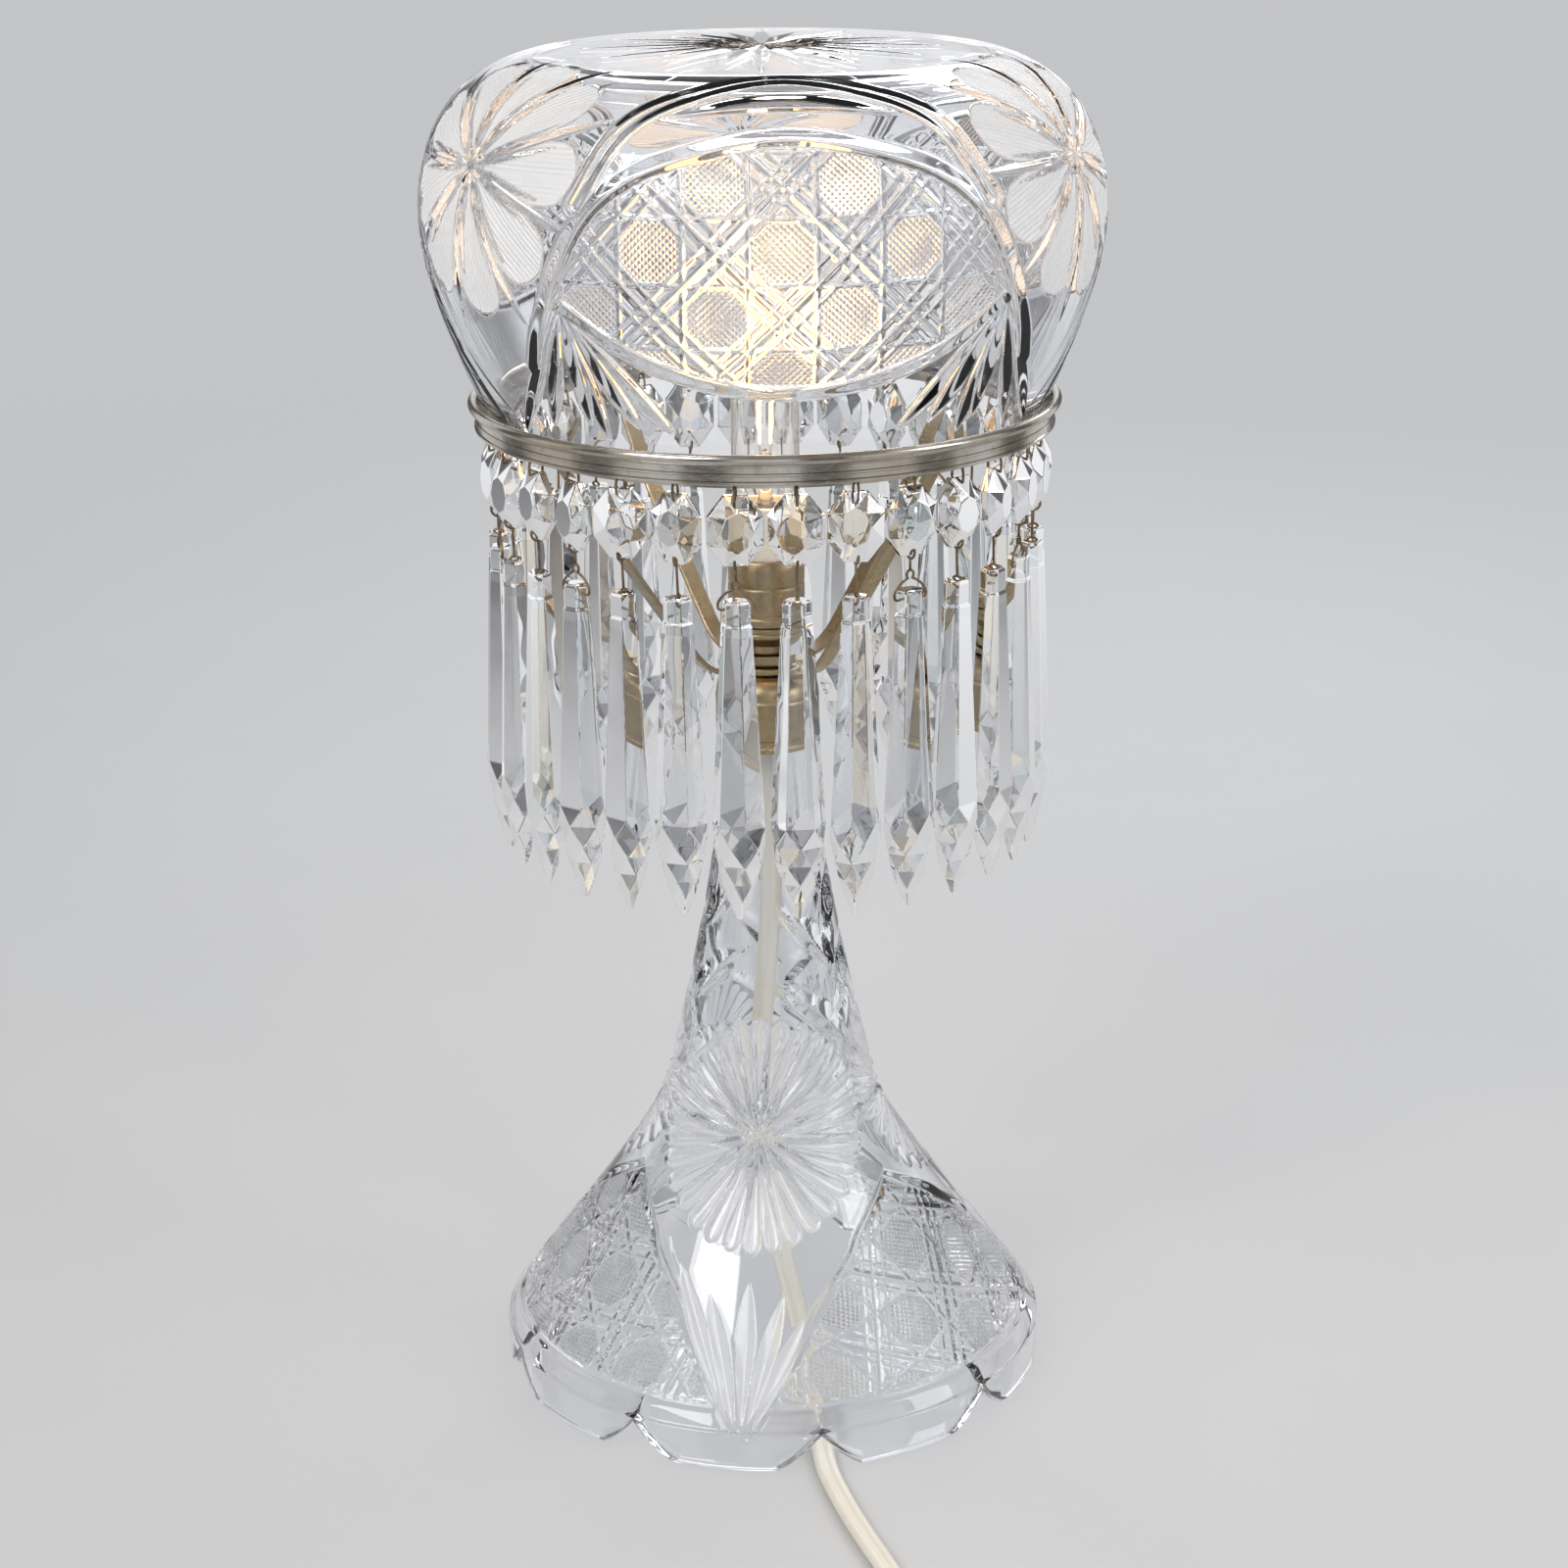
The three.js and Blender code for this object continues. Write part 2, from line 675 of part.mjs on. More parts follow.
add('glass_shade', 'crystal', glassShade());

// Strands: wire loop through the skirt's hole, octagon, wire link and spear prism

const octagonTop = holeHeight - loopLength + holeInset;
const octagonMiddle = octagonTop - beadLength / 2;
const octagonBottom = octagonTop - beadLength;
const prismTop = octagonBottom + holeInset - linkLength + holeInset;

const wireSection = oval(2 * wireRadius, 2 * wireRadius, 3);

// A closed loop of wire through the skirt's hole and the octagon's upper hole.
function wireLoop() {
  const arc = (middle, start, steps) => Array.from({ length: steps + 1 }, (_, k) => {
    const turn = start + (k / steps) * Math.PI;
    const out = loopRadius * Math.cos(turn);
    return new THREE.Vector3(0, out - hangRadius, middle + loopRadius * Math.sin(turn));
  });
  const top = arc(holeHeight - loopRadius, 0, 4);
  const bottom = arc(holeHeight - loopLength + loopRadius, Math.PI, 2);
  return swept([...top, ...bottom], wireSection, () => new THREE.Vector3(1, 0, 0), true);
}

// The straight wire between the octagon's lower hole and the prism's hole.
function wirePin() {
  const ends = [octagonBottom + holeInset, prismTop - holeInset];
  const path = ends.map((height) => new THREE.Vector3(0, -hangRadius, height));
  return swept(path, wireSection, () => new THREE.Vector3(1, 0, 0));
}

// An octagon bead: a narrow edge between two slopes, each with a flat table.
function octagonBead() {
  const slices = [
    [beadTable, -beadThickness / 2],
    [1, -beadEdge / 2],
    [1, beadEdge / 2],
    [beadTable, beadThickness / 2],
  ];
  const outline = oval(beadWidth, beadLength, 8);
  return lofted(slices.map(([scale, depth]) => outline.map(([across, up]) =>
    new THREE.Vector3(scale * across, depth - hangRadius, octagonMiddle + scale * up))));
}

// A spear prism: drilled head, slim six-sided body and a point cut in diamonds.
function spearPrism() {
  const sides = 6;
  const slices = [
    [prismHeadWidth, 0, 0],
    [prismHeadWidth, prismHeadHeight, 0],
    [prismTopWidth, prismHeadHeight + 1, 0],
    [prismWidth, prismShoulder, 0],
    [0.98 * prismWidth, prismShoulder + 0.34 * (prismLength - prismShoulder), 0.5],
    [0.6 * prismWidth, prismShoulder + 0.68 * (prismLength - prismShoulder), 0],
    [prismTipWidth, prismLength, 0],
  ];
  return lofted(slices.map(([width, drop, turn]) => Array.from({ length: sides }, (_, k) => {
    const angle = ((k + turn) / sides) * 2 * Math.PI;
    const across = (width / 2) * Math.cos(angle);
    const deep = (width / 2) * prismFlatness * Math.sin(angle);
    return new THREE.Vector3(across, deep - hangRadius, prismTop - drop);
  })));
}

function strand() {
  const pieces = [wireLoop(), octagonBead(), wirePin(), spearPrism()].map(solid);
  return geometryOf(pieces.reduce((joined, piece) => joined.add(piece)));
}

for (let k = 0; k < strands; k += 1) {
  const number = String(k + 1).padStart(2, '0');
  add(`strand_${number}`, 'prism', strand(), strandBearing + (360 / strands) * k);
}

// Cord: down through the pipe and the neck, out under a notch and along the table to its coil

const tableHeight = cordThickness / 2 + cordLift;
const cordUp = (along) => new THREE.Vector3(0, -Math.abs(along.z), 1 - Math.abs(along.z));
const runPoints = [
  [0, 0, cordTop],
  [0, 0, 196],
  [0, 0, 170],
  [0.5, -0.5, 138],
  [-1.5, -1, 108],
  [-3.5, -3, 82],
  [-3, -8, 62],
  [1, -18, 43],
  [6.5, -32, 24],
  [10.5, -48, 8.5],
  [12.5, -62, 2.6],
  [14, -75, tableHeight],
  [16.3, -85, tableHeight],
  [19, -95, tableHeight],
  [22.5, -106, tableHeight],
  [28, -122, tableHeight],
];

// The coil spirals in on the table, climbs where it turns back and spirals out on top of itself.
function coilPath() {
  const turns = 2 * coilTurnsPerLayer;
  const inner = coilMidRadius - (coilPitch * coilTurnsPerLayer) / 2;
  const climb = 0.15; // turns on each side of the reversal
  const fade = 0.25; // turns in which the dip ends
  const smooth = (value, from, to) => THREE.MathUtils.smoothstep(value, from, to);
  const steps = Math.round(turns * coilStepsPerTurn);
  const points = Array.from({ length: steps + 1 }, (_, i) => {
    const turn = (i / steps) * turns;
    const away = turn - coilTurnsPerLayer;
    const dip = coilReversalDip * (1 - smooth(Math.abs(away), climb, climb + fade));
    const radius = inner + coilPitch * Math.abs(away) - dip;
    const angle = THREE.MathUtils.degToRad(coilStart) - 2 * Math.PI * turn;
    return new THREE.Vector3(
      coilCentre.x + radius * Math.cos(angle),
      coilCentre.y + radius * Math.sin(angle),
      tableHeight + coilLayerRise * smooth(away, -climb, climb),
    );
  });
  const straight = (end, next) => end.clone().sub(next).setZ(0).setLength(coilLead).add(end);
  return [straight(points[0], points[1]), ...points, straight(points.at(-1), points.at(-2))];
}

// The least distance between two loops, from points on the section's corners and edges.
function leastGap(path, section) {
  const rings = path.map((point, i) => {
    const along = (path[i + 1] ?? point).clone().sub(path[i - 1] ?? point).normalize();
    const side = cordUp(along).cross(along).normalize();
    const up = along.clone().cross(side);
    return section.flatMap(([a, b], k) => {
      const [c, d] = section[(k + 1) % section.length];
      return [0, 0.5].map((t) => point.clone()
        .addScaledVector(side, a + t * (c - a))
        .addScaledVector(up, b + t * (d - b)));
    });
  });
  let least = Infinity;
  for (let i = 0; i < rings.length; i += 1) {
    for (let j = i + Math.round(coilStepsPerTurn / 2); j < rings.length; j += 1) {
      for (const p of rings[i]) {
        for (const q of rings[j]) least = Math.min(least, p.distanceTo(q));
      }
    }
  }
  return least;
}

const coilLine = coilPath();
const coilEntry = coilLine[0];
const coilExit = coilLine.at(-1);
const entryWay = coilLine[1].clone().sub(coilEntry).normalize();
const exitWay = coilExit.clone().sub(coilLine.at(-2)).normalize();
const runEnd = coilEntry.clone().addScaledVector(entryWay, -seatGap);
const runCurve = new THREE.CatmullRomCurve3([
  ...runPoints.map((point) => new THREE.Vector3(...point)),
  runEnd.clone().addScaledVector(entryWay, -12),
  runEnd,
], false, 'centripetal');
const plugHeight = plugThickness / 2;
const tailStart = coilExit.clone().addScaledVector(exitWay, seatGap);
const tailEnd = tailStart.clone().addScaledVector(exitWay, tailLength).setZ(plugHeight);
const tailCurve = new THREE.CubicBezierCurve3(
  tailStart,
  tailStart.clone().addScaledVector(exitWay, tailLength / 3),
  tailEnd.clone().addScaledVector(exitWay, -tailLength / 3),
  tailEnd,
);
const flatSection = oval(cordWidth, cordThickness, 8);
const coilSection = [[-1, 0], [-0.5, -1], [0.5, -1], [1, 0], [0.5, 1], [-0.5, 1]]
  .map(([a, b]) => [a * cordWidth / 2, b * cordThickness / 2]);

add('cord_run', 'cord', swept(runCurve.getSpacedPoints(38), flatSection, cordUp));
add('cord_coil', 'cord', swept(coilLine, coilSection, cordUp));
add('cord_tail', 'cord', swept(tailCurve.getPoints(6), flatSection, cordUp));

const lengthOf = (points) => points.slice(1).reduce((sum, point, i) => sum + point.distanceTo(points[i]), 0);
console.log(`least gap between the coil's loops ${leastGap(coilLine, coilSection).toFixed(2)} mm`);
console.log(`cord length ${Math.round(runCurve.getLength() + lengthOf(coilLine) + tailCurve.getLength())} mm`);

// Plug: a moulded body that tapers to the cord, and two blades

const plugStart = tailEnd.clone().addScaledVector(exitWay, seatGap);
const across = new THREE.Vector3(-exitWay.y, exitWay.x, 0);
const upward = new THREE.Vector3(0, 0, 1);

function plugBody() {
  const slices = [
    [0, cordWidth + 2.4, cordThickness + 2.6],
    [plugReliefLength, cordWidth + 4.5, cordThickness + 4],
    [plugReliefLength + 4, plugWidth - 4, plugThickness - 2],
    [plugReliefLength + 8, plugWidth, plugThickness],
    [plugLength - 2, plugWidth, plugThickness],
    [plugLength, plugWidth - 3, plugThickness - 2],
  ];
  return lofted(slices.map(([along, width, thickness]) => oval(width, thickness, 8).map(([a, b]) =>
    plugStart.clone().addScaledVector(exitWay, along).addScaledVector(across, a).addScaledVector(upward, b))));
}

function plugBlade(side) {
  const from = plugStart.clone().addScaledVector(exitWay, plugLength + seatGap);
  from.addScaledVector(across, (side * bladeSpacing) / 2);
  const box = (along, height) => [[-1, -1], [1, -1], [1, 1], [-1, 1]].map(([a, b]) => from.clone()
    .addScaledVector(exitWay, along)
    .addScaledVector(across, (a * bladeThickness) / 2)
    .addScaledVector(upward, (b * height) / 2));
  return lofted([box(0, bladeWidth), box(bladeLength - 1.5, bladeWidth), box(bladeLength, bladeWidth - 2)]);
}

add('plug_body', 'cord', plugBody());
add('plug_blade_left', 'brass', plugBlade(1));
add('plug_blade_right', 'brass', plugBlade(-1));

export default lamp;
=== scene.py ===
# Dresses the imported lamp: cut crystal foot and shade, faceted strands, metalwork, a lit bulb, a cord.
# Shapes are worked out in millimetres and become metres when a mesh is made. A bearing is in degrees
# from the front towards +X, and s is the distance along a wall's outline from its lower edge.
import math

import bpy
import numpy as np
from mathutils import Matrix, Vector


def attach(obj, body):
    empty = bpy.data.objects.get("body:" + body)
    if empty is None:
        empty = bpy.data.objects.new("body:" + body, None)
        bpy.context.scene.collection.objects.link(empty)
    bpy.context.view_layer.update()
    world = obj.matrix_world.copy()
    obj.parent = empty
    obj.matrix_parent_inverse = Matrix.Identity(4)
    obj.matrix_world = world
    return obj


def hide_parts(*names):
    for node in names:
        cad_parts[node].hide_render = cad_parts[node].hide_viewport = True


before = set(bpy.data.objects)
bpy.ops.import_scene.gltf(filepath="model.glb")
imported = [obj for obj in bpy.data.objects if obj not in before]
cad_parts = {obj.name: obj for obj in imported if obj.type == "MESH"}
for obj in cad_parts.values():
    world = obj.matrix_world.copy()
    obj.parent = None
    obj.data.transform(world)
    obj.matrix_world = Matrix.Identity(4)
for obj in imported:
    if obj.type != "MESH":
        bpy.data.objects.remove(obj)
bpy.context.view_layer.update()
MM = 0.001


# Curves and outlines

def smooth(x, low, high):
    """0 below low, 1 above high and a soft rise between them."""
    t = np.clip((x - low) / (high - low), 0, 1)
    return t * t * (3 - 2 * t)


def unit(vector):
    return vector / np.linalg.norm(vector)


def bezier(start, pieces, steps):
    """Points on a run of cubic curves, each from where the last one ended."""
    points = [np.array(start, float)]
    for curve in pieces:
        p, a, b, q = (np.array(point, float) for point in (points[-1], *curve))
        for t in np.linspace(0, 1, steps + 1)[1:]:
            points.append((1 - t) ** 3 * p + 3 * t * (1 - t) ** 2 * a + 3 * t * t * (1 - t) * b + t ** 3 * q)
    return np.array(points)


def spline(points, steps, spacing=0.0):
    """A smooth curve through all the points; a spacing of 0.5 suits unevenly spaced ones."""
    p = np.array(points, float)
    p = np.concatenate([[2 * p[0] - p[1]], p, [2 * p[-1] - p[-2]]])
    out = []
    for a, b, c, d in zip(p[:-3], p[1:-2], p[2:-1], p[3:]):
        d0, d1, d2 = (np.linalg.norm(y - x) ** spacing for x, y in ((a, b), (b, c), (c, d)))
        m1 = d1 * ((b - a) / d0 - (c - a) / (d0 + d1) + (c - b) / d1)
        m2 = d1 * ((c - b) / d1 - (d - b) / (d1 + d2) + (d - c) / d2)
        for t in np.arange(steps) / steps:
            out.append(b + m1 * t + (-3 * b + 3 * c - 2 * m1 - m2) * t ** 2
                       + (2 * b - 2 * c + m1 + m2) * t ** 3)
    return np.array([*out, p[-2]])


def evenly(points, count):
    """The same line with evenly spaced points."""
    s = np.concatenate([[0], np.cumsum(np.linalg.norm(np.diff(points, axis=0), axis=1))])
    return np.stack([np.interp(np.linspace(0, s[-1], count), s, points[:, k]) for k in range(3)], axis=-1)


def rounded(profile, steps=3):
    """A closed outline of (radius, height, corner) with its corners taken off in small arcs."""
    points, corners = np.split(np.array(profile, float), [2], axis=1)
    sides = zip(np.roll(points, 1, axis=0) - points, np.roll(points, -1, axis=0) - points)
    out = []
    for here, pair, corner in zip(points, sides, corners[:, 0]):
        if corner == 0:
            out.append(here)
            continue
        a, b = (here + side * min(0.45, corner / np.linalg.norm(side)) for side in pair)
        out += [(1 - t) ** 2 * a + 2 * t * (1 - t) * here + t * t * b for t in np.linspace(0, 1, steps + 1)]
    return out


class Outline:
    """A wall's outline, [radius, height], that is asked by distance along it."""

    def __init__(self, points, start=0.0):
        self.points = np.array(points, float)
        steps = np.hypot(*np.diff(self.points, axis=0).T)
        self.s = start + np.concatenate([[0], np.cumsum(steps)])

    def at(self, s):
        return np.interp(s, self.s, self.points[:, 0]), np.interp(s, self.s, self.points[:, 1])

    def outward(self, s, reach=0.6):
        r1, z1 = self.at(np.clip(s - reach, self.s[0], self.s[-1]))
        r2, z2 = self.at(np.clip(s + reach, self.s[0], self.s[-1]))
        size = np.hypot(r2 - r1, z2 - z1)
        return (z2 - z1) / size, (r1 - r2) / size

    def under(self, s, depth):
        """Radius and height of what lies so deep under the outline, one row for each s."""
        (radius, height), (out_r, out_z) = self.at(s), self.outward(s)
        return radius[:, None] - out_r[:, None] * depth, height[:, None] - out_z[:, None] * depth


# Meshes and pieces

def place(radius, height, bearing):
    """Points in mm from radius, height and bearing in degrees."""
    radius, height, turn = np.broadcast_arrays(radius, height, np.radians(bearing))
    return np.stack([radius * np.sin(turn), -radius * np.cos(turn), height], axis=-1)


def turned(points, bearing):
    """The points carried round the axis from the front to a bearing."""
    c, s = math.cos(math.radians(bearing)), math.sin(math.radians(bearing))
    return np.asarray(points) @ np.array([[c, s, 0], [-s, c, 0], [0, 0, 1]])


def new_mesh(name, points, faces, uvs=None):
    """A mesh from points in mm and lists of faces, one list for each number of corners."""
    groups = [np.asarray(f, dtype=np.int32) for f in faces if len(f)]
    loops = np.concatenate([g.ravel() for g in groups])
    totals = np.concatenate([np.full(len(g), g.shape[1]) for g in groups])
    starts = np.concatenate([[0], np.cumsum(totals)[:-1]]).astype(np.int32)
    mesh = bpy.data.meshes.new(name)
    mesh.vertices.add(len(points))
    mesh.vertices.foreach_set("co", (np.asarray(points, float) * MM).astype(np.float32).ravel())
    mesh.loops.add(len(loops))
    mesh.loops.foreach_set("vertex_index", loops)
    mesh.polygons.add(len(totals))
    mesh.polygons.foreach_set("loop_start", starts)
    mesh.update(calc_edges=True)
    if uvs is not None:
        corners = np.concatenate([u.reshape(-1, 2) for u in uvs]).astype(np.float32)
        mesh.uv_layers.new(name="OFBake").data.foreach_set("uv", corners.ravel())
    return mesh


def softly(mesh, sharp):
    """Shades the mesh smooth, apart from edges over the sharp angle in degrees."""
    mesh.polygons.foreach_set("use_smooth", np.ones(len(mesh.polygons), bool))
    mesh.set_sharp_from_angle(angle=math.radians(sharp))
    return mesh


def attribute(mesh, name, values):
    values = np.asarray(values, np.float32)
    kind, field = ("FLOAT", "value") if values.ndim == 1 else ("FLOAT_VECTOR", "vector")
    mesh.attributes.new(name, kind, "POINT").data.foreach_set(field, values.ravel())


def grid_quads(rows, columns, rows_closed=False):
    """Quads of a grid whose rows are rings, and whose last row may meet the first."""
    j, i = np.meshgrid(np.arange(rows if rows_closed else rows - 1), np.arange(columns), indexing="ij")
    row, row_after, column_after = j * columns, (j + 1) % rows * columns, (i + 1) % columns
    quads = np.stack([row + i, row + column_after, row_after + column_after, row_after + i], axis=-1)
    return quads.reshape(-1, 4)


def grid_map(rows, columns, height):
    """Each quad's corners on a flat map that is so many rows high."""
    j, i = np.meshgrid(np.arange(rows), np.arange(columns), indexing="ij")
    u = np.stack([i, i + 1, i + 1, i], axis=-1) / columns
    v = np.stack([j, j, j + 1, j + 1], axis=-1) / height
    return np.stack([u, v], axis=-1).reshape(-1, 4, 2)


def tube_faces(rings, corners, closed=False):
    """Quads of a tube and, where it doesn't close on itself, its two end faces."""
    ends = [] if closed else [np.arange(corners)[::-1], (rings - 1) * corners + np.arange(corners)]
    return grid_quads(rings, corners, closed), ends


def sweep(path, section, up, closed=False):
    """A section carried along a path: points, quads and end faces."""
    path, section = np.asarray(path, float), np.asarray(section, float)
    along = np.roll(path, -1, axis=0) - np.roll(path, 1, axis=0) if closed else np.gradient(path, axis=0)
    along /= np.linalg.norm(along, axis=1)[:, None]
    side = np.cross(up(along) if callable(up) else up, along)
    side /= np.linalg.norm(side, axis=1)[:, None]
    top = np.cross(along, side)
    points = path[:, None] + side[:, None] * section[None, :, :1] + top[:, None] * section[None, :, 1:]
    return points.reshape(-1, 3), *tube_faces(len(path), len(section), closed)


def ring_section(radius, sides=8):
    turn = np.arange(sides) * 2 * math.pi / sides
    return np.stack([radius * np.cos(turn), radius * np.sin(turn)], axis=-1)


def lathe(name, profile, sides=96, sharp=32):
    """A turned body from [radius, height] pairs that close on themselves or on the axis."""
    points, starts, quads, tris = [], [], [], []
    for radius, height in profile:
        starts.append(len(points))
        points.extend(place(radius, height, np.arange(sides) * 360 / sides) if radius else [[0, 0, height]])
    pairs = [(k, k + 1) for k in range(len(profile) - 1)]
    if profile[0][0] and profile[-1][0]:
        pairs.append((len(profile) - 1, 0))
    i = np.arange(sides)
    after = (i + 1) % sides
    for k, following in pairs:
        a, b = starts[k], starts[following]
        if profile[k][0] and profile[following][0]:
            quads.extend(np.stack([a + i, a + after, b + after, b + i], axis=-1))
        elif profile[following][0]:
            tris.extend(np.stack([a + 0 * i, b + after, b + i], axis=-1))
        elif profile[k][0]:
            tris.extend(np.stack([a + i, a + after, b + 0 * i], axis=-1))
    return softly(new_mesh(name, points, [quads, tris]), sharp)


class Build:
    """Gathers several closed parts, each with its material's number, into one mesh."""

    def __init__(self):
        self.points, self.groups, self.count = [], {}, 0

    def add(self, points, faces, material=0):
        for face in faces:
            face = np.asarray(face) + self.count
            face = face[None] if face.ndim == 1 else face
            self.groups.setdefault((face.shape[1], material), []).append(face)
        self.points.append(np.asarray(points, float))
        self.count += len(points)

    def add_wire(self, path, radius, up, closed=False, material=1):
        points, quads, ends = sweep(path, ring_section(radius), up, closed)
        self.add(points, [quads, *ends], material)

    def mesh(self, name):
        faces = [np.concatenate(group) for group in self.groups.values()]
        mesh = new_mesh(name, np.concatenate(self.points), faces)
        materials = [np.full(len(f), material) for (_, material), f in zip(self.groups, faces)]
        mesh.polygons.foreach_set("material_index", np.concatenate(materials).astype(np.int32))
        return mesh


def show(name, data):
    obj = bpy.data.objects.new(name, data)
    bpy.context.scene.collection.objects.link(obj)
    return obj


def piece(mesh, body, slot, *stands_for):
    """The mesh as a piece that rides on a body, in its slot's materials, in place of CAD nodes."""
    obj = show(mesh.name, mesh)
    for material in LOOKS[slot]:
        mesh.materials.append(material)
    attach(obj, body)
    if stands_for:
        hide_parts(*stands_for)
    return obj


def bevelled(obj, name, width, segments, **settings):
    bevel = obj.modifiers.new(name, "BEVEL")
    bevel.width, bevel.segments = width * MM, segments
    for key, value in settings.items():
        setattr(bevel, key, value)


def dress_node(name, material, width, **settings):
    """A CAD node that is carried over, with its own material and softened edges."""
    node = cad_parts[name]
    node.data.materials.clear()
    node.data.materials.append(material)
    bevelled(node, "edges", width, 2, **settings)
    return node


# Materials

class Shader:
    """A material, or the world, with short calls for its nodes."""

    def __init__(self, name, world=None):
        self.block = world or bpy.data.materials.new(name)
        self.block.use_nodes = True
        self.tree = self.block.node_tree
        self.tree.nodes.clear()
        self.out = self.node("OutputWorld" if world else "OutputMaterial")

    def node(self, kind, inputs=None, **settings):
        node = self.tree.nodes.new("ShaderNode" + kind)
        for key, value in settings.items():
            setattr(node, key, value)
        for key, value in (inputs or {}).items():
            socket = node.inputs[key]
            if isinstance(value, bpy.types.NodeSocket):
                self.tree.links.new(value, socket)
            else:
                socket.default_value = (*value, 1) if socket.type == "RGBA" else value
        return node

    def math(self, operation, a, b=0.0, c=0.0):
        return self.node("Math", {0: a, 1: b, 2: c}, operation=operation).outputs[0]

    def noise(self, scale, detail=3.0, rough=0.55, stretch=(1, 1, 1)):
        here = self.node("TexCoord").outputs["Object"]
        mapped = self.node("Mapping", {"Vector": here, "Scale": stretch}).outputs[0]
        inputs = {"Vector": mapped, "Scale": scale, "Detail": detail, "Roughness": rough}
        return self.node("TexNoise", inputs).outputs["Fac"]

    def ramp(self, value, low, high, dark=(0, 0, 0), light=(1, 1, 1)):
        """From dark at low to light at high."""
        node = self.node("ValToRGB", {"Fac": value})
        for element, position, color in zip(node.color_ramp.elements, (low, high), (dark, light)):
            element.position = position
            element.color = (*color, 1)
        return node.outputs["Color"]

    def scaled(self, value, low, high):
        return self.node("MapRange", {"Value": value, "To Min": low, "To Max": high}).outputs[0]

    def mix(self, fac, a, b):
        return self.node("Mix", {0: fac, 6: a, 7: b}, data_type="RGBA").outputs[2]

    def bump(self, height, distance, strength):
        return self.node("Bump", {"Height": height, "Distance": distance, "Strength": strength}).outputs[0]

    def parts(self, vector):
        """X, Y and Z of a place or a direction."""
        return self.node("SeparateXYZ", {0: vector}).outputs

    def principled(self, **inputs):
        return self.node("BsdfPrincipled", {key.replace("_", " "): v for key, v in inputs.items()}).outputs[0]

    def finish(self, shader):
        self.tree.links.new(shader, self.out.inputs["Surface"])
        return self.block

    def finish_glass(self, shader, loss):
        """Lamps and bounced light pass straight through the glass and lose a little."""
        path = self.node("LightPath").outputs
        passing = self.math("MAXIMUM", path["Is Shadow Ray"], path["Is Diffuse Ray"])
        clear = self.node("BsdfTransparent", {"Color": loss}).outputs[0]
        return self.finish(self.node("MixShader", {0: passing, 1: shader, 2: clear}).outputs[0])


HATCH_PITCH = 1.2


def crystal_material():
    """Clear crystal, ground dull by the frost attribute; weave holds a hatch's x, y and strength."""
    s = Shader("cut crystal")
    frost = s.node("Attribute", attribute_name="frost").outputs["Fac"]
    x, y, strength = s.parts(s.node("Attribute", attribute_name="weave").outputs["Vector"])
    ridges = [s.math("PINGPONG", across, HATCH_PITCH / 2) for across in (x, y)]
    pyramids = s.math("MULTIPLY", s.math("MINIMUM", *ridges), s.math("MULTIPLY", strength, 0.68))
    grain = s.math("MULTIPLY", s.noise(900, 2), frost)
    height = s.math("ADD", pyramids, s.math("MULTIPLY", grain, 0.22))
    height = s.math("ADD", height, s.math("MULTIPLY", s.noise(28, 1), 0.05))
    rough = s.math("ADD", s.math("MULTIPLY", frost, s.scaled(s.noise(240, 2), 0.30, 0.46)), 0.004)
    rough = s.math("MULTIPLY_ADD", strength, 0.20, rough)
    ground = s.mix(s.noise(320, 3, 0.7), (0.90, 0.90, 0.91), (0.98, 0.975, 0.97))
    color = s.mix(frost, (0.925, 0.935, 0.955), ground)
    clear = s.math("SUBTRACT", 1.0, s.math("MULTIPLY", frost, 0.85))
    glass = s.principled(Base_Color=color, Roughness=rough, IOR=1.545, Transmission_Weight=clear,
                         Normal=s.bump(height, 0.0009, 1.0))
    return s.finish_glass(glass, (0.93, 0.935, 0.945))


def prism_material():
    s = Shader("prism crystal")
    # Each facet's base colour is painted light: grey and dark facets are painted shade, and blue, warm and
    # teal ones are painted dispersion glints.
    painted_facet_light = s.node("Attribute", attribute_name="painted_facet_light").outputs["Color"]
    ripple = s.bump(s.noise(60, 1), 0.0002, 0.5)
    glass = s.principled(Base_Color=painted_facet_light, Roughness=0.0, IOR=1.6, Transmission_Weight=1.0, Normal=ripple)
    return s.finish_glass(glass, (0.92, 0.925, 0.935))


def bulb_glass_material():
    s = Shader("bulb glass")
    dust = s.scaled(s.noise(120, 3), 0.0, 0.05)
    glass = s.principled(Base_Color=(1.0, 0.985, 0.96), Roughness=dust, IOR=1.45, Transmission_Weight=1.0)
    return s.finish_glass(glass, (0.97, 0.96, 0.95))


def metal_material(name, fresh, worn, dark, rough, patch_scale=45, stretch=(1, 1, 18), tarnish=0.4):
    """Plated or solid metal with worn patches, fine turning lines and dark specks."""
    s = Shader(name)
    patches = s.noise(patch_scale, 5, 0.62)
    specks = s.noise(420, 3, 0.7)
    soiled = s.ramp(specks, 0.60 - 0.25 * tarnish, 0.82)
    color = s.mix(s.ramp(patches, 0.42, 0.62), fresh, worn)
    color = s.mix(s.math("MULTIPLY", soiled, tarnish), color, dark)
    roughness = s.math("ADD", s.scaled(patches, *rough), s.math("MULTIPLY", soiled, 0.16))
    grain = s.math("ADD", s.noise(260, 2, 0.5, stretch), s.math("MULTIPLY", specks, 0.5))
    return s.finish(s.principled(Base_Color=color, Metallic=1.0, Roughness=roughness,
                                 Normal=s.bump(grain, 0.00007, 0.55)))


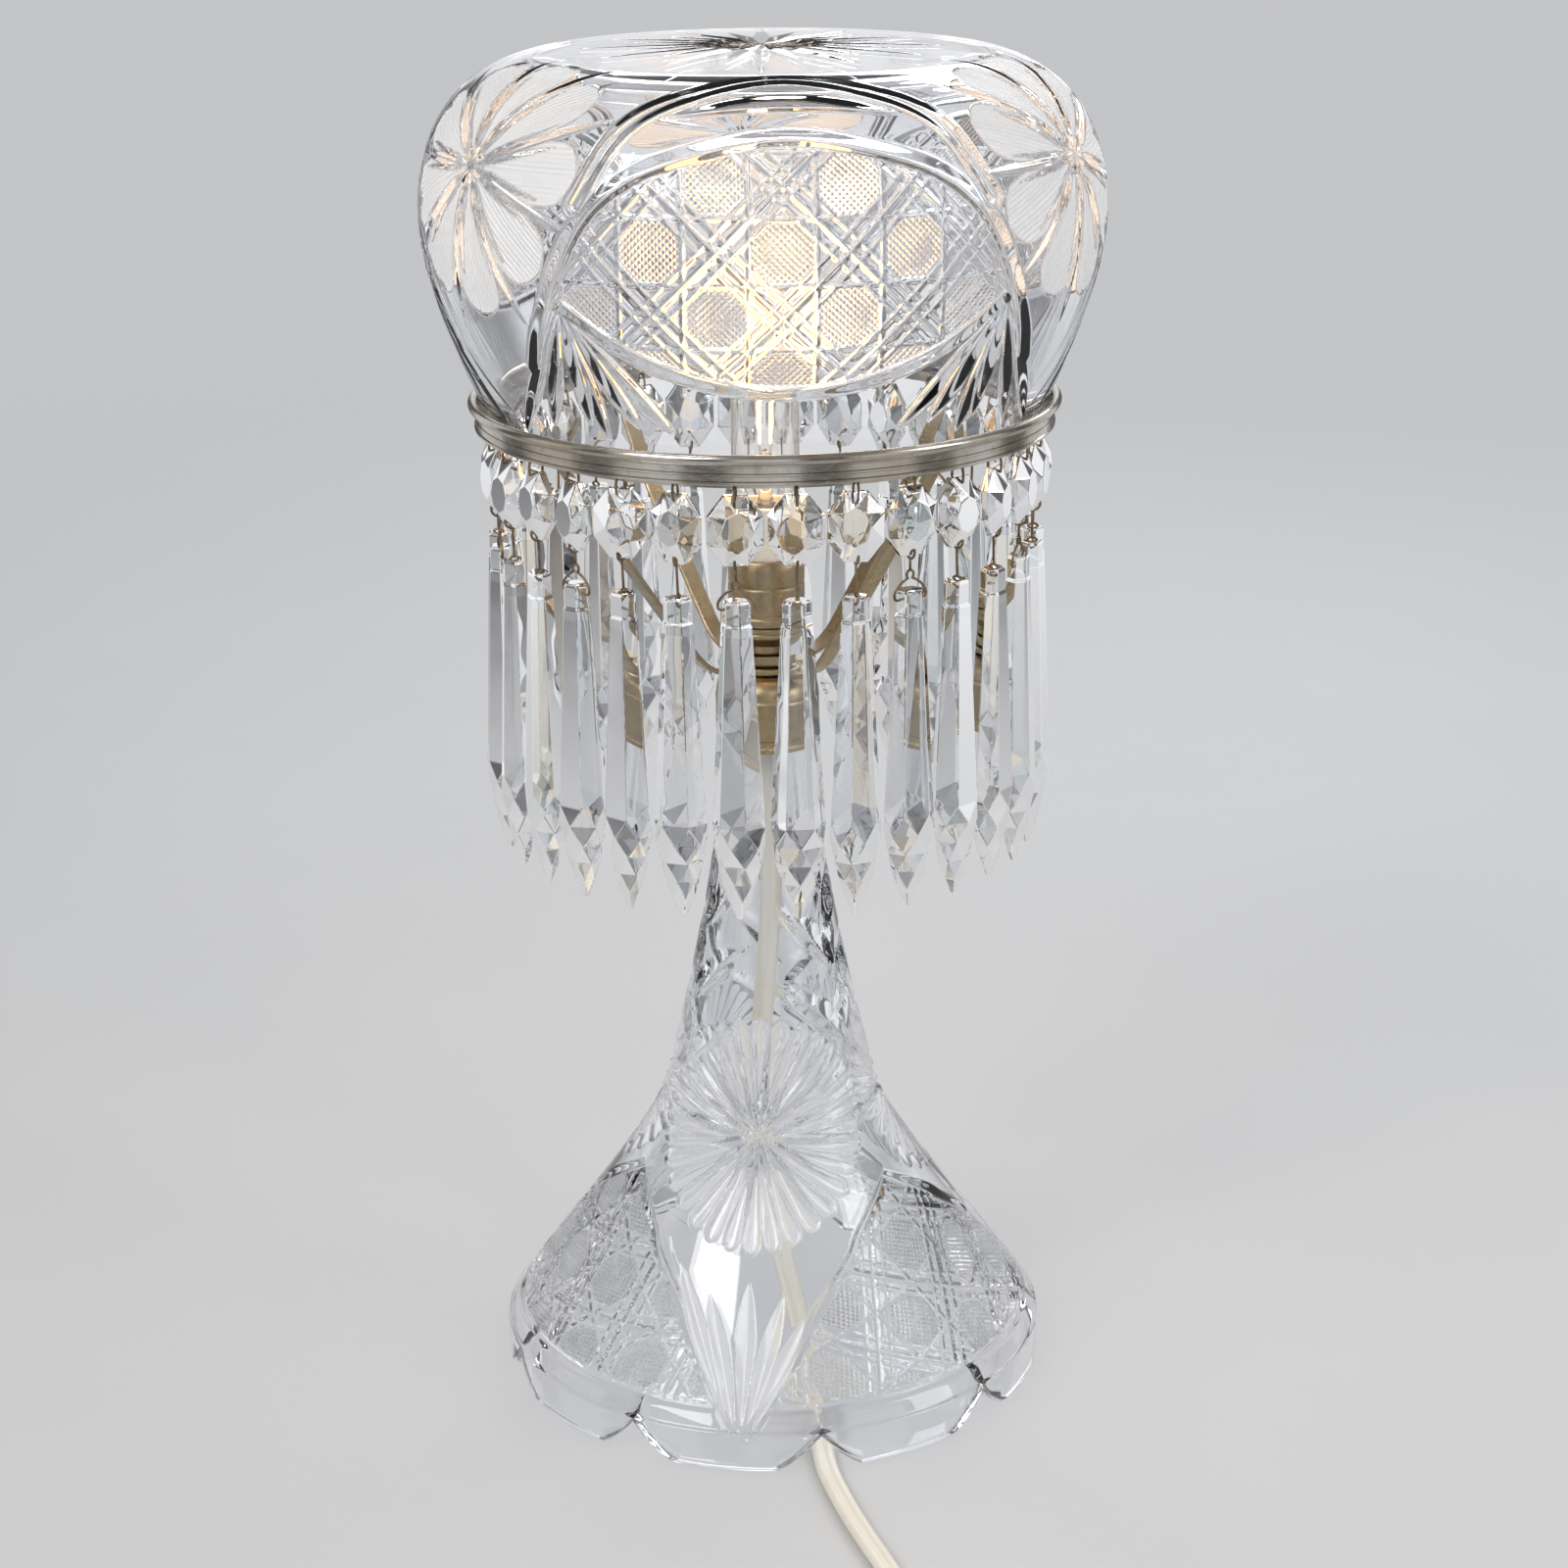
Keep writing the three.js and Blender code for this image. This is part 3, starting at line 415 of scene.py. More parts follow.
def plain_material(name, light, shade, rough, scale=60, bump=0.0001, **extra):
    """A solid stuff with mottled colour and a fine grain."""
    s = Shader(name)
    mottle = s.noise(scale, 4, 0.6)
    grain = s.noise(scale * 14, 3, 0.6)
    color = s.mix(s.ramp(mottle, 0.35, 0.7), light, shade)
    color = s.mix(s.math("MULTIPLY", grain, 0.16), color, tuple(0.72 * c for c in shade))
    return s.finish(s.principled(Base_Color=color, Roughness=s.scaled(mottle, *rough),
                                 Normal=s.bump(grain, bump, 0.7), **extra))


def glow_material(name, color, strength):
    s = Shader(name)
    hot = s.scaled(s.noise(700, 2), 0.7 * strength, 1.2 * strength)
    return s.finish(s.principled(Base_Color=(1.0, 0.75, 0.4), Roughness=0.4, Emission_Color=color,
                                 Emission_Strength=hot))


nickel = metal_material("aged nickel", (0.50, 0.475, 0.435), (0.38, 0.325, 0.25), (0.15, 0.12, 0.09),
                        (0.10, 0.24), 30, (1, 1, 3), 0.3)
brass = metal_material("aged brass", (0.41, 0.315, 0.185), (0.31, 0.26, 0.18), (0.10, 0.075, 0.045),
                       (0.20, 0.38), tarnish=0.5)
plate = metal_material("bulb metal", (0.74, 0.73, 0.70), (0.64, 0.62, 0.58), (0.30, 0.28, 0.25),
                       (0.2, 0.4), tarnish=0.25)
wire_metal = metal_material("dark wire", (0.17, 0.12, 0.08), (0.28, 0.20, 0.12), (0.05, 0.04, 0.03),
                            (0.34, 0.5), 160)
blade_metal = metal_material("plug blades", (0.72, 0.68, 0.58), (0.62, 0.56, 0.44), (0.25, 0.2, 0.14),
                             (0.18, 0.32), 80)
plaster = plain_material("plaster", (0.80, 0.77, 0.70), (0.62, 0.58, 0.50), (0.8, 0.95), 90, 0.0004)
porcelain = plain_material("porcelain", (0.86, 0.83, 0.77), (0.74, 0.70, 0.62), (0.35, 0.55), 50)
card = plain_material("card sleeve", (0.86, 0.80, 0.68), (0.72, 0.63, 0.48), (0.6, 0.8), 55, 0.0003)
vinyl = plain_material("cord vinyl", (0.80, 0.77, 0.69), (0.70, 0.65, 0.54), (0.34, 0.5), 22, 0.00006,
                       Subsurface_Weight=0.15, Subsurface_Radius=(0.004, 0.003, 0.002), Sheen_Weight=0.12)
LOOKS = {
    "cut_crystal": [crystal_material()],
    "prism_crystal": [prism_material(), wire_metal],
    "bulb_glass": [bulb_glass_material()],
    "bulb_metal": [plate],
    "filament": [glow_material("filament", (1.0, 0.62, 0.26), 26.0), plate],
    "aged_nickel": [nickel],
    "aged_brass": [brass],
    "card_sleeve": [card],
    "cord_vinyl": [vinyl],
}


# Camera, floor, world and lamps

PALE = (0.55, 0.555, 0.565)
FLOOR_HALF = 9000.0
CAMERA_PLACE = (0.0, -0.79905, 0.44088)
CAMERA_DOWN = 18.906
CAMERA_ROLL = -0.53
BULB_MIDDLE = (0, 0, 0.292)


def make_camera():
    data = bpy.data.cameras.new("camera")
    data.lens = 72.0
    data.sensor_width = 36.0
    data.shift_x = 0.01006
    data.clip_end = 50.0
    camera = show("camera", data)
    pitch = Matrix.Rotation(math.radians(90 - CAMERA_DOWN), 4, "X")
    roll = Matrix.Rotation(math.radians(CAMERA_ROLL), 4, "Z")
    camera.matrix_world = Matrix.Translation(CAMERA_PLACE) @ pitch @ roll
    bpy.context.scene.camera = camera


def panels(s, x, y):
    """The studio as glass and metal see it: eight pale panels all round, with dark gaps."""
    around = s.math("COSINE", s.math("MULTIPLY", s.math("ARCTAN2", x, y), 8.0))
    level = s.math("MULTIPLY_ADD", around, 0.5, 0.5)
    return s.ramp(level, 0.26, 0.48, (0.13, 0.13, 0.135), (0.88, 0.885, 0.90))


def make_floor():
    """A pale floor: lit and shadowed near the lamp, and a level backdrop farther off."""
    corners = [(-1, -1), (1, -1), (1, 1), (-1, 1)]
    mesh = new_mesh("floor", [[FLOOR_HALF * x, FLOOR_HALF * y, 0] for x, y in corners], [[[0, 1, 2, 3]]])
    s = Shader("floor")
    color = s.mix(s.noise(5, 3), (0.53, 0.535, 0.545), (0.57, 0.575, 0.58))
    near = s.principled(Base_Color=color, Roughness=0.62, Normal=s.bump(s.noise(500, 2), 0.0001, 0.3))
    x, y, _ = s.parts(s.node("TexCoord").outputs["Object"])
    away = s.math("SQRT", s.math("ADD", s.math("MULTIPLY", x, x), s.math("MULTIPLY", y, y)))
    seen = s.node("LightPath").outputs["Is Camera Ray"]
    far = s.node("Emission", {"Color": s.mix(seen, panels(s, x, y), PALE)}).outputs[0]
    blend = s.node("MapRange", {"Value": away, "From Min": 0.45, "From Max": 1.5},
                   interpolation_type="SMOOTHSTEP").outputs[0]
    mesh.materials.append(s.finish(s.node("MixShader", {0: blend, 1: near, 2: far}).outputs[0]))
    show("floor", mesh)


def make_world():
    """Pale to the eye and for soft light; glass and metal see the panels, and a darker ceiling."""
    world = bpy.data.worlds.new("studio")
    s = Shader("studio", world)
    x, y, z = s.parts(s.node("TexCoord").outputs["Generated"])
    ceiling = s.node("MapRange", {"Value": z, "From Min": 0.40, "From Max": 0.62}).outputs[0]
    seen = s.mix(ceiling, panels(s, x, y), (0.36, 0.36, 0.37))
    path = s.node("LightPath").outputs
    plain = s.math("MAXIMUM", path["Is Camera Ray"], path["Is Diffuse Ray"])
    s.finish(s.node("Background", {"Color": s.mix(plain, seen, PALE)}).outputs[0])
    bpy.context.scene.world = world


def lamp(name, kind, where, power, color, **settings):
    data = bpy.data.lights.new(name, kind)
    data.energy, data.color = power, color
    for key, value in settings.items():
        setattr(data, key, value)
    obj = show(name, data)
    obj.location = where
    return obj


def area_lamp(name, where, aim, width, height, power, color):
    obj = lamp(name, "AREA", where, power, color, shape="RECTANGLE", size=width, size_y=height)
    obj.rotation_mode = "QUATERNION"
    obj.rotation_quaternion = (Vector(aim) - Vector(where)).to_track_quat("-Z", "Y")


def bulb_light(name, radius, power, color, in_glass):
    """A lamp inside the bulb; one lights what is round it, the other is what cut glass shows of it."""
    obj = lamp(name, "POINT", BULB_MIDDLE, power, color, shadow_soft_size=radius)
    obj.visible_glossy = obj.visible_transmission = in_glass


make_camera()
make_floor()
make_world()
area_lamp("key", (-1.0, -1.15, 1.35), (0, 0, 0.2), 0.9, 0.9, 17.0, (1.0, 0.99, 0.97))
area_lamp("fill", (1.35, -0.5, 0.9), (0, 0, 0.2), 0.5, 1.1, 7.0, (0.96, 0.98, 1.0))
area_lamp("back", (0.35, 1.35, 1.0), (0, 0, 0.25), 1.2, 0.35, 8.0, (1.0, 1.0, 1.0))
bulb_light("bulb light", 0.008, 0.30, (1.0, 0.64, 0.32), False)
bulb_light("bulb glow", 0.019, 0.058, (1.0, 0.50, 0.12), True)
bpy.context.scene.view_settings.view_transform = "Standard"
cycles = bpy.context.scene.cycles
cycles.max_bounces = cycles.transmission_bounces = 24
cycles.transparent_max_bounces = 32


# Cord: down inside the neck, out under a notch, along the table to its coil, and the plug

CORD_WIDTH = 5.8
CORD_THICKNESS = 2.9
CORD_WAIST = 0.62  # height of the groove between the cores, as a share of a core's radius
SEAT_GAP = 0.3
TABLE = CORD_THICKNESS / 2 + 0.05
RUN = [
    (0, 0, 209), (0, 0, 196), (0, 0, 170), (0.5, -0.5, 138), (-1.5, -1, 108), (-3.5, -3, 82), (-3, -8, 62),
    (1, -18, 43), (6.5, -32, 24), (10.5, -48, 8.5), (12.5, -62, 2.6), (14, -75, TABLE), (16.3, -85, TABLE),
    (19, -95, TABLE), (22.5, -106, TABLE), (28, -122, TABLE),
]
RUN_POINTS = 110
STRAIGHT_IN = 12
COIL_CENTRE = (-2.5, -182)
COIL_START = 17  # degrees
COIL_PITCH = 6.35
COIL_TURNS = 3.15  # in each of its two layers
COIL_INNER = 35 - COIL_PITCH * COIL_TURNS / 2
COIL_RISE = 3.4
COIL_DIP = 2
COIL_LEAD = 6
COIL_STEPS = 36  # in a turn
TAIL = 36
PLUG_HEIGHT = 6.5


def coil_line():
    """Spirals in on the table, climbs where it turns back and spirals out on top of itself."""
    steps = round(2 * COIL_TURNS * COIL_STEPS)
    turn = np.arange(steps + 1) / steps * 2 * COIL_TURNS
    away = turn - COIL_TURNS
    radius = COIL_INNER + COIL_PITCH * np.abs(away) - COIL_DIP * (1 - smooth(np.abs(away), 0.15, 0.40))
    angle = np.radians(COIL_START) - 2 * np.pi * turn
    points = np.stack([COIL_CENTRE[0] + radius * np.cos(angle), COIL_CENTRE[1] + radius * np.sin(angle),
                       TABLE + COIL_RISE * smooth(away, -0.15, 0.15)], axis=-1)

    first, last = (end + COIL_LEAD * unit((end - following) * [1, 1, 0])
                   for end, following in (points[:2], points[:-3:-1]))
    return np.concatenate([[first], points, [last]])


def cord_up(along):
    """Which way the flat cord's broad side faces: up on the table, to the front in the neck."""
    rise = np.abs(along[:, 2])
    return np.stack([0 * rise, -rise, 1 - rise], axis=-1)


def twin_section(points=28):
    """Two round cores side by side with a shallow groove between them."""
    turn = (np.arange(points) + 0.5) * 2 * np.pi / points
    core = CORD_THICKNESS / 2
    core_middle = CORD_WIDTH / 2 - core
    x = (CORD_WIDTH / 2) * np.cos(turn)
    from_core = np.abs(np.abs(x) - core_middle)
    height = np.sqrt(np.maximum(core ** 2 - np.minimum(from_core, core) ** 2, 0))
    height = np.maximum(height, CORD_WAIST * core * (np.abs(x) < core_middle))
    return np.stack([x, np.sign(np.sin(turn)) * np.maximum(height, 0.02)], axis=-1)


coil = coil_line()
entry_way, exit_way = unit(coil[1] - coil[0]), unit(coil[-1] - coil[-2])
run_end = coil[0] - SEAT_GAP * entry_way
run_line = evenly(spline([*RUN, run_end - STRAIGHT_IN * entry_way, run_end], 24, 0.5), RUN_POINTS)
tail_start = coil[-1] + SEAT_GAP * exit_way
tail_end = (tail_start + TAIL * exit_way) * [1, 1, 0] + [0, 0, PLUG_HEIGHT]
third = TAIL / 3 * exit_way
tail_line = bezier(tail_start, [(tail_start + third, tail_end - third, tail_end)], 14)
cord_line = np.concatenate([run_line, coil, tail_line])
cord_points, cord_quads, cord_ends = sweep(cord_line, twin_section(), cord_up)
cord = piece(softly(new_mesh("cord", cord_points, [cord_quads, cord_ends]), 60), "stand", "cord_vinyl",
             "cord_run", "cord_coil", "cord_tail")
plug_start = tail_end + SEAT_GAP * exit_way

PLUG_RIBS = 4
PLUG_SIDES = 40
PLUG_NOSE = [(0, 8.0, 5.3), (0.6, 8.4, 5.7)]  # distance from the cord, width and thickness
PLUG_BODY = [
    (10.6, 11.2, 7.6), (12.4, 14.6, 9.3), (14.4, 18.6, 11.2), (16.6, 21.2, 12.5), (18.4, 22.0, 13.0),
    (24.0, 21.7, 12.8), (28.4, 22.0, 13.0), (29.4, 21.4, 12.5), (29.9, 20.2, 11.6), (30.0, 19.0, 11.0),
]


def plug_mesh():
    """A moulded plug: ribbed relief, shoulders, and a flat face for the blades."""
    slices = list(PLUG_NOSE)
    for rib in range(PLUG_RIBS):
        x, wide, thick = 1.6 + 2.1 * rib, 8.7 + 0.5 * rib, 5.8 + 0.35 * rib
        slices += [(x + step, wide + more, thick + more)
                   for step, more in ((0, 0), (0.3, -0.9), (1.0, -0.8), (1.3, 0.2))]
    slices += PLUG_BODY
    across, up = np.array([-exit_way[1], exit_way[0], 0]), np.array([0, 0, 1.0])
    turn = (np.arange(PLUG_SIDES) + 0.5) * 2 * np.pi / PLUG_SIDES
    c, s = np.cos(turn), np.sin(turn)
    rings = []
    for along, wide, thick in slices:
        roundness = 1.0 - 0.42 * float(smooth(along, 9, 18))
        a = wide / 2 * np.sign(c) * np.abs(c) ** roundness
        b = thick / 2 * np.sign(s) * np.abs(s) ** roundness
        rings.append(plug_start + along * exit_way + a[:, None] * across + b[:, None] * up)
    return softly(new_mesh("plug", np.concatenate(rings), tube_faces(len(rings), PLUG_SIDES)), 40)


plug = piece(plug_mesh(), "stand", "cord_vinyl", "plug_body")
blades = [dress_node(name, blade_metal, 0.3) for name in ("plug_blade_left", "plug_blade_right")]


# Cuts on the glass: each gives a depth in mm over a grid of places

def groove(distance, half, depth):
    return depth * np.clip(1 - np.abs(distance) / half, 0, 1)


def leaf(u, v, start, end, width, depth, widest=0.5):
    """A cut pointed at both ends, widest at a share of its length."""
    dx, dy = end[0] - start[0], end[1] - start[1]
    size = math.hypot(dx, dy)
    t = ((u - start[0]) * dx + (v - start[1]) * dy) / size ** 2
    beside = ((u - start[0]) * dy - (v - start[1]) * dx) / size
    power = math.log(0.5) / math.log(widest)
    half = width / 2 * np.sin(np.pi * np.clip(t, 0, 1) ** power) ** 0.8 + 1e-6
    return np.where((t > 0) & (t < 1), groove(beside, half, depth * half / (width / 2)), 0)


def near_line(u, v, line):
    """Distance to a line of points, and the share of its length where it is nearest."""
    line = np.asarray(line, float)
    steps = np.hypot(*np.diff(line, axis=0).T)
    best = np.full(np.broadcast(u, v).shape, 1e9)
    share = np.zeros_like(best)
    run = 0.0
    for (x0, y0), (x1, y1), size in zip(line[:-1], line[1:], steps):
        t = np.clip(((u - x0) * (x1 - x0) + (v - y0) * (y1 - y0)) / size ** 2, 0, 1)
        d = np.hypot(u - x0 - t * (x1 - x0), v - y0 - t * (y1 - y0))
        share = np.where(d < best, (run + t * size) / steps.sum(), share)
        best = np.minimum(d, best)
        run += size
    return best, share


def curved_leaf(u, v, line, width, depth):
    distance, share = near_line(u, v, line)
    half = width / 2 * np.sin(np.pi * np.clip(share, 0, 1)) ** 0.7 + 1e-6
    return groove(distance, half, depth * half / (width / 2))


CANE_PITCH = 22.0


def cane_work(u, v, origin, turn):
    """Crossing cuts that leave octagonal buttons: depth, share that is a button's top, and x and y."""
    c, s = np.cos(np.radians(turn)), np.sin(np.radians(turn))
    x = (u - origin[0]) * c + (v - origin[1]) * s
    y = -(u - origin[0]) * s + (v - origin[1]) * c
    a, b = (np.abs((w + CANE_PITCH / 2) % CANE_PITCH - CANE_PITCH / 2) for w in (x, y))
    slant = (a + b) / math.sqrt(2)
    depth = np.maximum(groove(CANE_PITCH / 2 - a, 0.9, 0.85), groove(CANE_PITCH / 2 - b, 0.9, 0.85))
    apothem, half = CANE_PITCH / (2 * math.sqrt(2)), 0.62
    for tangent in (a, b, slant):
        depth = np.maximum(depth, groove(tangent - apothem, half, 0.6))
    reach = np.maximum(np.maximum(a, b), slant)
    edge = apothem - half
    crown = 0.25 * smooth(reach, 4.5, edge) * (reach < edge)
    return np.maximum(depth, crown), smooth(edge - reach, 0.0, 0.35), x, y


def petals(r, bearing, count, length, width, start, tip, first=0.0):
    """Scooped petals round a centre: which places are in one, the place across it from -1 to 1, and in mm."""
    step = 2 * np.pi / count
    off = (bearing - math.radians(first) + step / 2) % step - step / 2
    beside, along = r * np.sin(off), r * np.cos(off)
    half = width / 2 * (smooth(along, start, length * 0.62) * 0.72 + 0.28)
    half = np.minimum(half, 0.97 * along * math.tan(step / 2))
    near_tip = np.clip((along - (length - tip)) / tip, 0, 1)
    half = half * np.sqrt(np.maximum(1 - near_tip ** 2, 0)) + 1e-6
    inside = (along > start) & (along < length) & (np.abs(beside) < half)
    return inside, np.clip(beside / half, -1, 1), beside


def rays(r, bearing, count, lengths, width, depth, first=0.0):
    """Mitre rays from a centre, narrow at both ends; the lengths are used in turn."""
    step = 2 * np.pi / count
    index = np.floor((bearing - math.radians(first)) / step + 0.5)
    off = bearing - math.radians(first) - index * step
    length = np.take(np.asarray(lengths, float), index.astype(int) % len(lengths))
    t = np.clip(r * np.cos(off) / length, 0, 1)
    half = width / 2 * np.minimum(0.25 + 2.6 * t, 1.0) * np.clip(1.25 * (1 - t), 0, 1) ** 0.8 + 1e-6
    return np.where((t > 0) & (t < 1), groove(r * np.sin(off), half, depth * half / (width / 2)), 0)


def softened(depth):
    """The depths with what is finer than the grid rounded off, so that slanting cuts run clean."""
    depth = (np.roll(depth, 1, axis=1) + 4 * depth + np.roll(depth, -1, axis=1)) / 6
    return np.concatenate([depth[:1], (depth[:-2] + 4 * depth[1:-1] + depth[2:]) / 6, depth[-1:]])


PANEL = 120.0  # degrees: the cuts of foot and shade come round three times


def wrapped(bearing, axis, span=PANEL):
    return (bearing - axis + span / 2) % span - span / 2


COLUMNS = 1440
NOTCH_BEARING = 9.65
BEARINGS = NOTCH_BEARING + np.arange(COLUMNS) * 360 / COLUMNS


class Wall:
    """Rows of points round a glass wall, each point with its frost and its hatch."""

    def __init__(self):
        self.points, self.frost, self.weave = [], [], []

    def add(self, radius, height, frost=0.0, weave=0.0, bearings=BEARINGS):
        points = place(radius, height, bearings)
        self.points.append(points.reshape(-1, 3))
        self.frost.append(np.broadcast_to(frost, points.shape[:-1]).ravel())
        self.weave.append(np.broadcast_to(weave, points.shape).reshape(-1, 3))

    def rows(self):
        return sum(len(points) for points in self.points) // COLUMNS

    def mesh(self, name, faces, uvs):
        mesh = softly(new_mesh(name, np.concatenate(self.points), faces, uvs), 62)
        attribute(mesh, "frost", np.concatenate(self.frost))
        attribute(mesh, "weave", np.concatenate(self.weave))
        return mesh


# Foot

FOOT_RADIUS = 75.0
BAND_HEIGHT = 12.0
BAND_STEP = 0.8
BAND_SAMPLES = 60
FOOT_WALL = 6.4
NECK_WALL = 4.8
NECK_RADIUS = 11.6
NECK_END = (11.3, 7.1)  # radii of its flat top, outside and inside
NECK_BASE, NECK_TOP = 180, 194
NOTCH_HALF = 11.5
foot_curve = bezier((FOOT_RADIUS - BAND_STEP, BAND_HEIGHT), [
    ((65.802, 26.96), (35.304, 61.98), (30, 80)),
    ((22.64, 105), (13.44, 150), (NECK_RADIUS, NECK_BASE)),
], 60)
foot_outline = Outline([*foot_curve, (NECK_RADIUS, NECK_TOP)], BAND_HEIGHT + BAND_STEP)

FOOT_AXIS = -7.0
FOOT_CANE_AXIS = 53.0
CANE_ORIGINS = np.array([(-15.1, 35.8), (0.0, 40.0), (15.6, 44.0)])
CANE_TURNS = np.array([-27.0, 45.0, 8.0])
FOOT_DAISY_S = 91.5
FAN_LEAVES = [(-19.6, 55), (-10.7, 48.7), (0, 52.4), (9.4, 49.4), (15.9, 43.4)]
NECK_STARTS = {1: (132, 153, 174), -1: (121, 142, 163)}
NECK_FALL = [(10, 0), (24, 2.6), (40, 7.2), (54, 13.0), (66, 19.5)]
border_line = spline([(0, 7.8), (14.5, 34), (19.5, 45), (28, 56.5), (31, 62.6), (40, 73), (44, 77)], 6)


def foot_cuts(s, radius):
    """Depth, frost and hatch on the foot, for rows at distances s with the wall's radius there."""
    s, radius = s[:, None], radius[:, None]
    turn = wrapped(BEARINGS, FOOT_AXIS)
    u = radius * np.radians(turn)
    v = s + 0 * u
    edge, _ = near_line(np.abs(u), v, border_line)
    depth = groove(edge, 2.0, 1.6)
    frost = np.zeros_like(u)
    for tip in FAN_LEAVES:
        root = (0.16 * tip[0], 9 + 0.1 * (tip[1] - 9))
        cut = leaf(u, v, root, tip, width=5.6, depth=1.5, widest=0.55)
        depth = np.maximum(depth, cut)
        frost = np.maximum(frost, 0.37 * (cut > 0.12))

    flat, bearing = np.hypot(u, v - FOOT_DAISY_S), np.arctan2(u, v - FOOT_DAISY_S)
    inside, across, _ = petals(flat, bearing, count=32, length=31.6, width=5.0, start=8.0, tip=3.0)
    depth = np.maximum(depth, np.where(inside, 0.85 * (1 - across ** 2), 0))
    frost = np.maximum(frost, 0.30 * (inside | ((flat > 9) & (flat < 20))))
    ray = rays(flat, bearing, count=16, lengths=(30, 19, 26, 17), width=4.0, depth=2.7, first=6.0)
    frost = np.where(ray > 0.08, 0.0, frost)
    depth = np.maximum(depth, ray)

    panel = np.floor((BEARINGS - FOOT_CANE_AXIS + PANEL / 2) / PANEL).astype(int) % 3
    cane_u = radius * np.radians(wrapped(BEARINGS, FOOT_CANE_AXIS))
    lattice, top, x, y = cane_work(cane_u, v, CANE_ORIGINS[panel].T, CANE_TURNS[panel])
    cane_zone = (np.abs(u) > np.interp(v, border_line[:, 1], border_line[:, 0])) & (v < 76)
    work = cane_zone & (edge > 1.9) & (v > 20.6)
    depth = np.where(work, np.maximum(depth, 1.25 * lattice), depth)
    depth = np.where(cane_zone & (edge > 1.2), np.maximum(depth, groove(v - 18.8, 1.5, 1.0)), depth)
    weave = np.stack([x, y, np.where(work, 1.5 * top, 0)], axis=-1)

    for side, starts in NECK_STARTS.items():
        for start in starts:
            middle = float(foot_outline.at(start - 8)[0])
            line = spline([(middle * math.radians(side * a), start - drop) for a, drop in NECK_FALL], 4)
            near = (s[:, 0] > start - 26) & (s[:, 0] < start + 6)
            for lap in (-PANEL, 0, PANEL):
                around = middle * np.radians(turn + lap) + 0 * v[near]
                cut = curved_leaf(around, v[near], line, width=7.6, depth=2.1)
                depth[near] = np.maximum(depth[near], cut)
    return depth * np.where(s < 12.5, smooth(s, 9, 10.5), 1), frost, weave


def notch(radius):
    """Height of the rim's edge at each bearing."""
    off = np.radians(wrapped(BEARINGS, NOTCH_BEARING, 40))
    t = np.clip(1 - np.abs(radius * np.sin(off)) / NOTCH_HALF, 0, 1)
    return 6.3 * t + 4.2 * t * t


def glass_foot():
    """Up the scalloped band, the bell and the neck, and down again inside."""
    wall = Wall()
    low = notch(FOOT_RADIUS)
    bevel = 1.7 - low / 10.5
    wall.add(FOOT_RADIUS - 1.2 * bevel, low)
    edge, top = low + bevel, BAND_HEIGHT - 0.35
    heights = edge + (top - edge) * np.linspace(0, 1, 12)[:, None]
    band_s = np.linspace(0, BAND_HEIGHT, BAND_SAMPLES)
    depth, frost, _ = foot_cuts(band_s, np.full(BAND_SAMPLES, FOOT_RADIUS))
    last = BAND_SAMPLES - 1
    sample = np.clip(np.round(heights / BAND_HEIGHT * last).astype(int), 0, last), np.arange(COLUMNS)
    cut = np.where(heights > 7.8, depth[sample], 0)
    wall.add(FOOT_RADIUS - cut, heights, np.where(cut > 0.1, frost[sample], 0))
    wall.add(FOOT_RADIUS - 0.35, BAND_HEIGHT)

    # Rows lie 0.4 mm apart on the bell, and wider apart on the neck.
    s = np.concatenate([np.linspace(13.1, 126, 283), np.linspace(126.8, foot_outline.s[-1] - 0.3, 84)])
    radius, height = foot_outline.at(s)
    depth, frost, weave = foot_cuts(s, radius)
    depth = softened(depth)
    depth[height > NECK_BASE + 1] = 0
    wall.add(*foot_outline.under(s, depth), frost, weave)
    for end in NECK_END:
        wall.add(end, NECK_TOP)

    inner = FOOT_RADIUS - FOOT_WALL
    s = np.linspace(foot_outline.s[-1] - 0.3, foot_outline.s[0] + 0.2, 34)
    thickness = FOOT_WALL + (NECK_WALL - FOOT_WALL) * foot_outline.at(s)[1] / NECK_BASE
    radius, height = foot_outline.under(s, thickness[:, None])
    keep = radius[:, 0] < inner - 0.3
    wall.add(radius[keep], height[keep])
    low = notch(inner)
    wall.add(inner - 0.1, np.maximum(low + 1.4, 6.5))
    wall.add(inner, low + 1.0)
    wall.add(inner + 0.8, low)
    rows = wall.rows()
    return wall.mesh("foot_glass", [grid_quads(rows, COLUMNS, True)], [grid_map(rows, COLUMNS, rows + 1)])


piece(glass_foot(), "stand", "cut_crystal", "glass_base")


# Shade: its arcs are pairs of a bearing off the panel's axis and s

RIM = (71.0, 269.3)
SHADE_TOP = 362.5
SHADE_WALL = 5.2
shade_outline = Outline(bezier(RIM, [
    ((77.56, 285.11), (87, 304.082), (87, 322)),
    ((87, 340.576), (78.3, 356.83), (58, 360.7)),
    ((48, 361.5), (29, 362.1), (0.6, SHADE_TOP)),
], 60))
SHADE_LIP = 0.7
EYE_AXIS = 4.0
SHADE_DAISY_S = 73.3
CROWN_S = 112
UPPER_ARC = [(0, 84.5), (18.4, 78.8), (29, 70.5), (35.7, 58), (43, 37), (46.5, 26)]
LOWER_ARC = [(0, 23), (12, 25), (22, 29.5), (30, 35.5), (38, 43.5)]
ARCH = [(0, 105.5), (17.5, 97.8), (28.4, 85.8), (34.7, 67)]
CRESCENT = [(0, 94.6), (10, 93.5), (21, 90)]
FAN_ROOT = (38, 43)
FAN_TIPS = [(56.5, 5.8), (46.7, 9.6), (37, 11.4), (34, 7.6), (26.6, 11.6), (20.4, 10.7)]


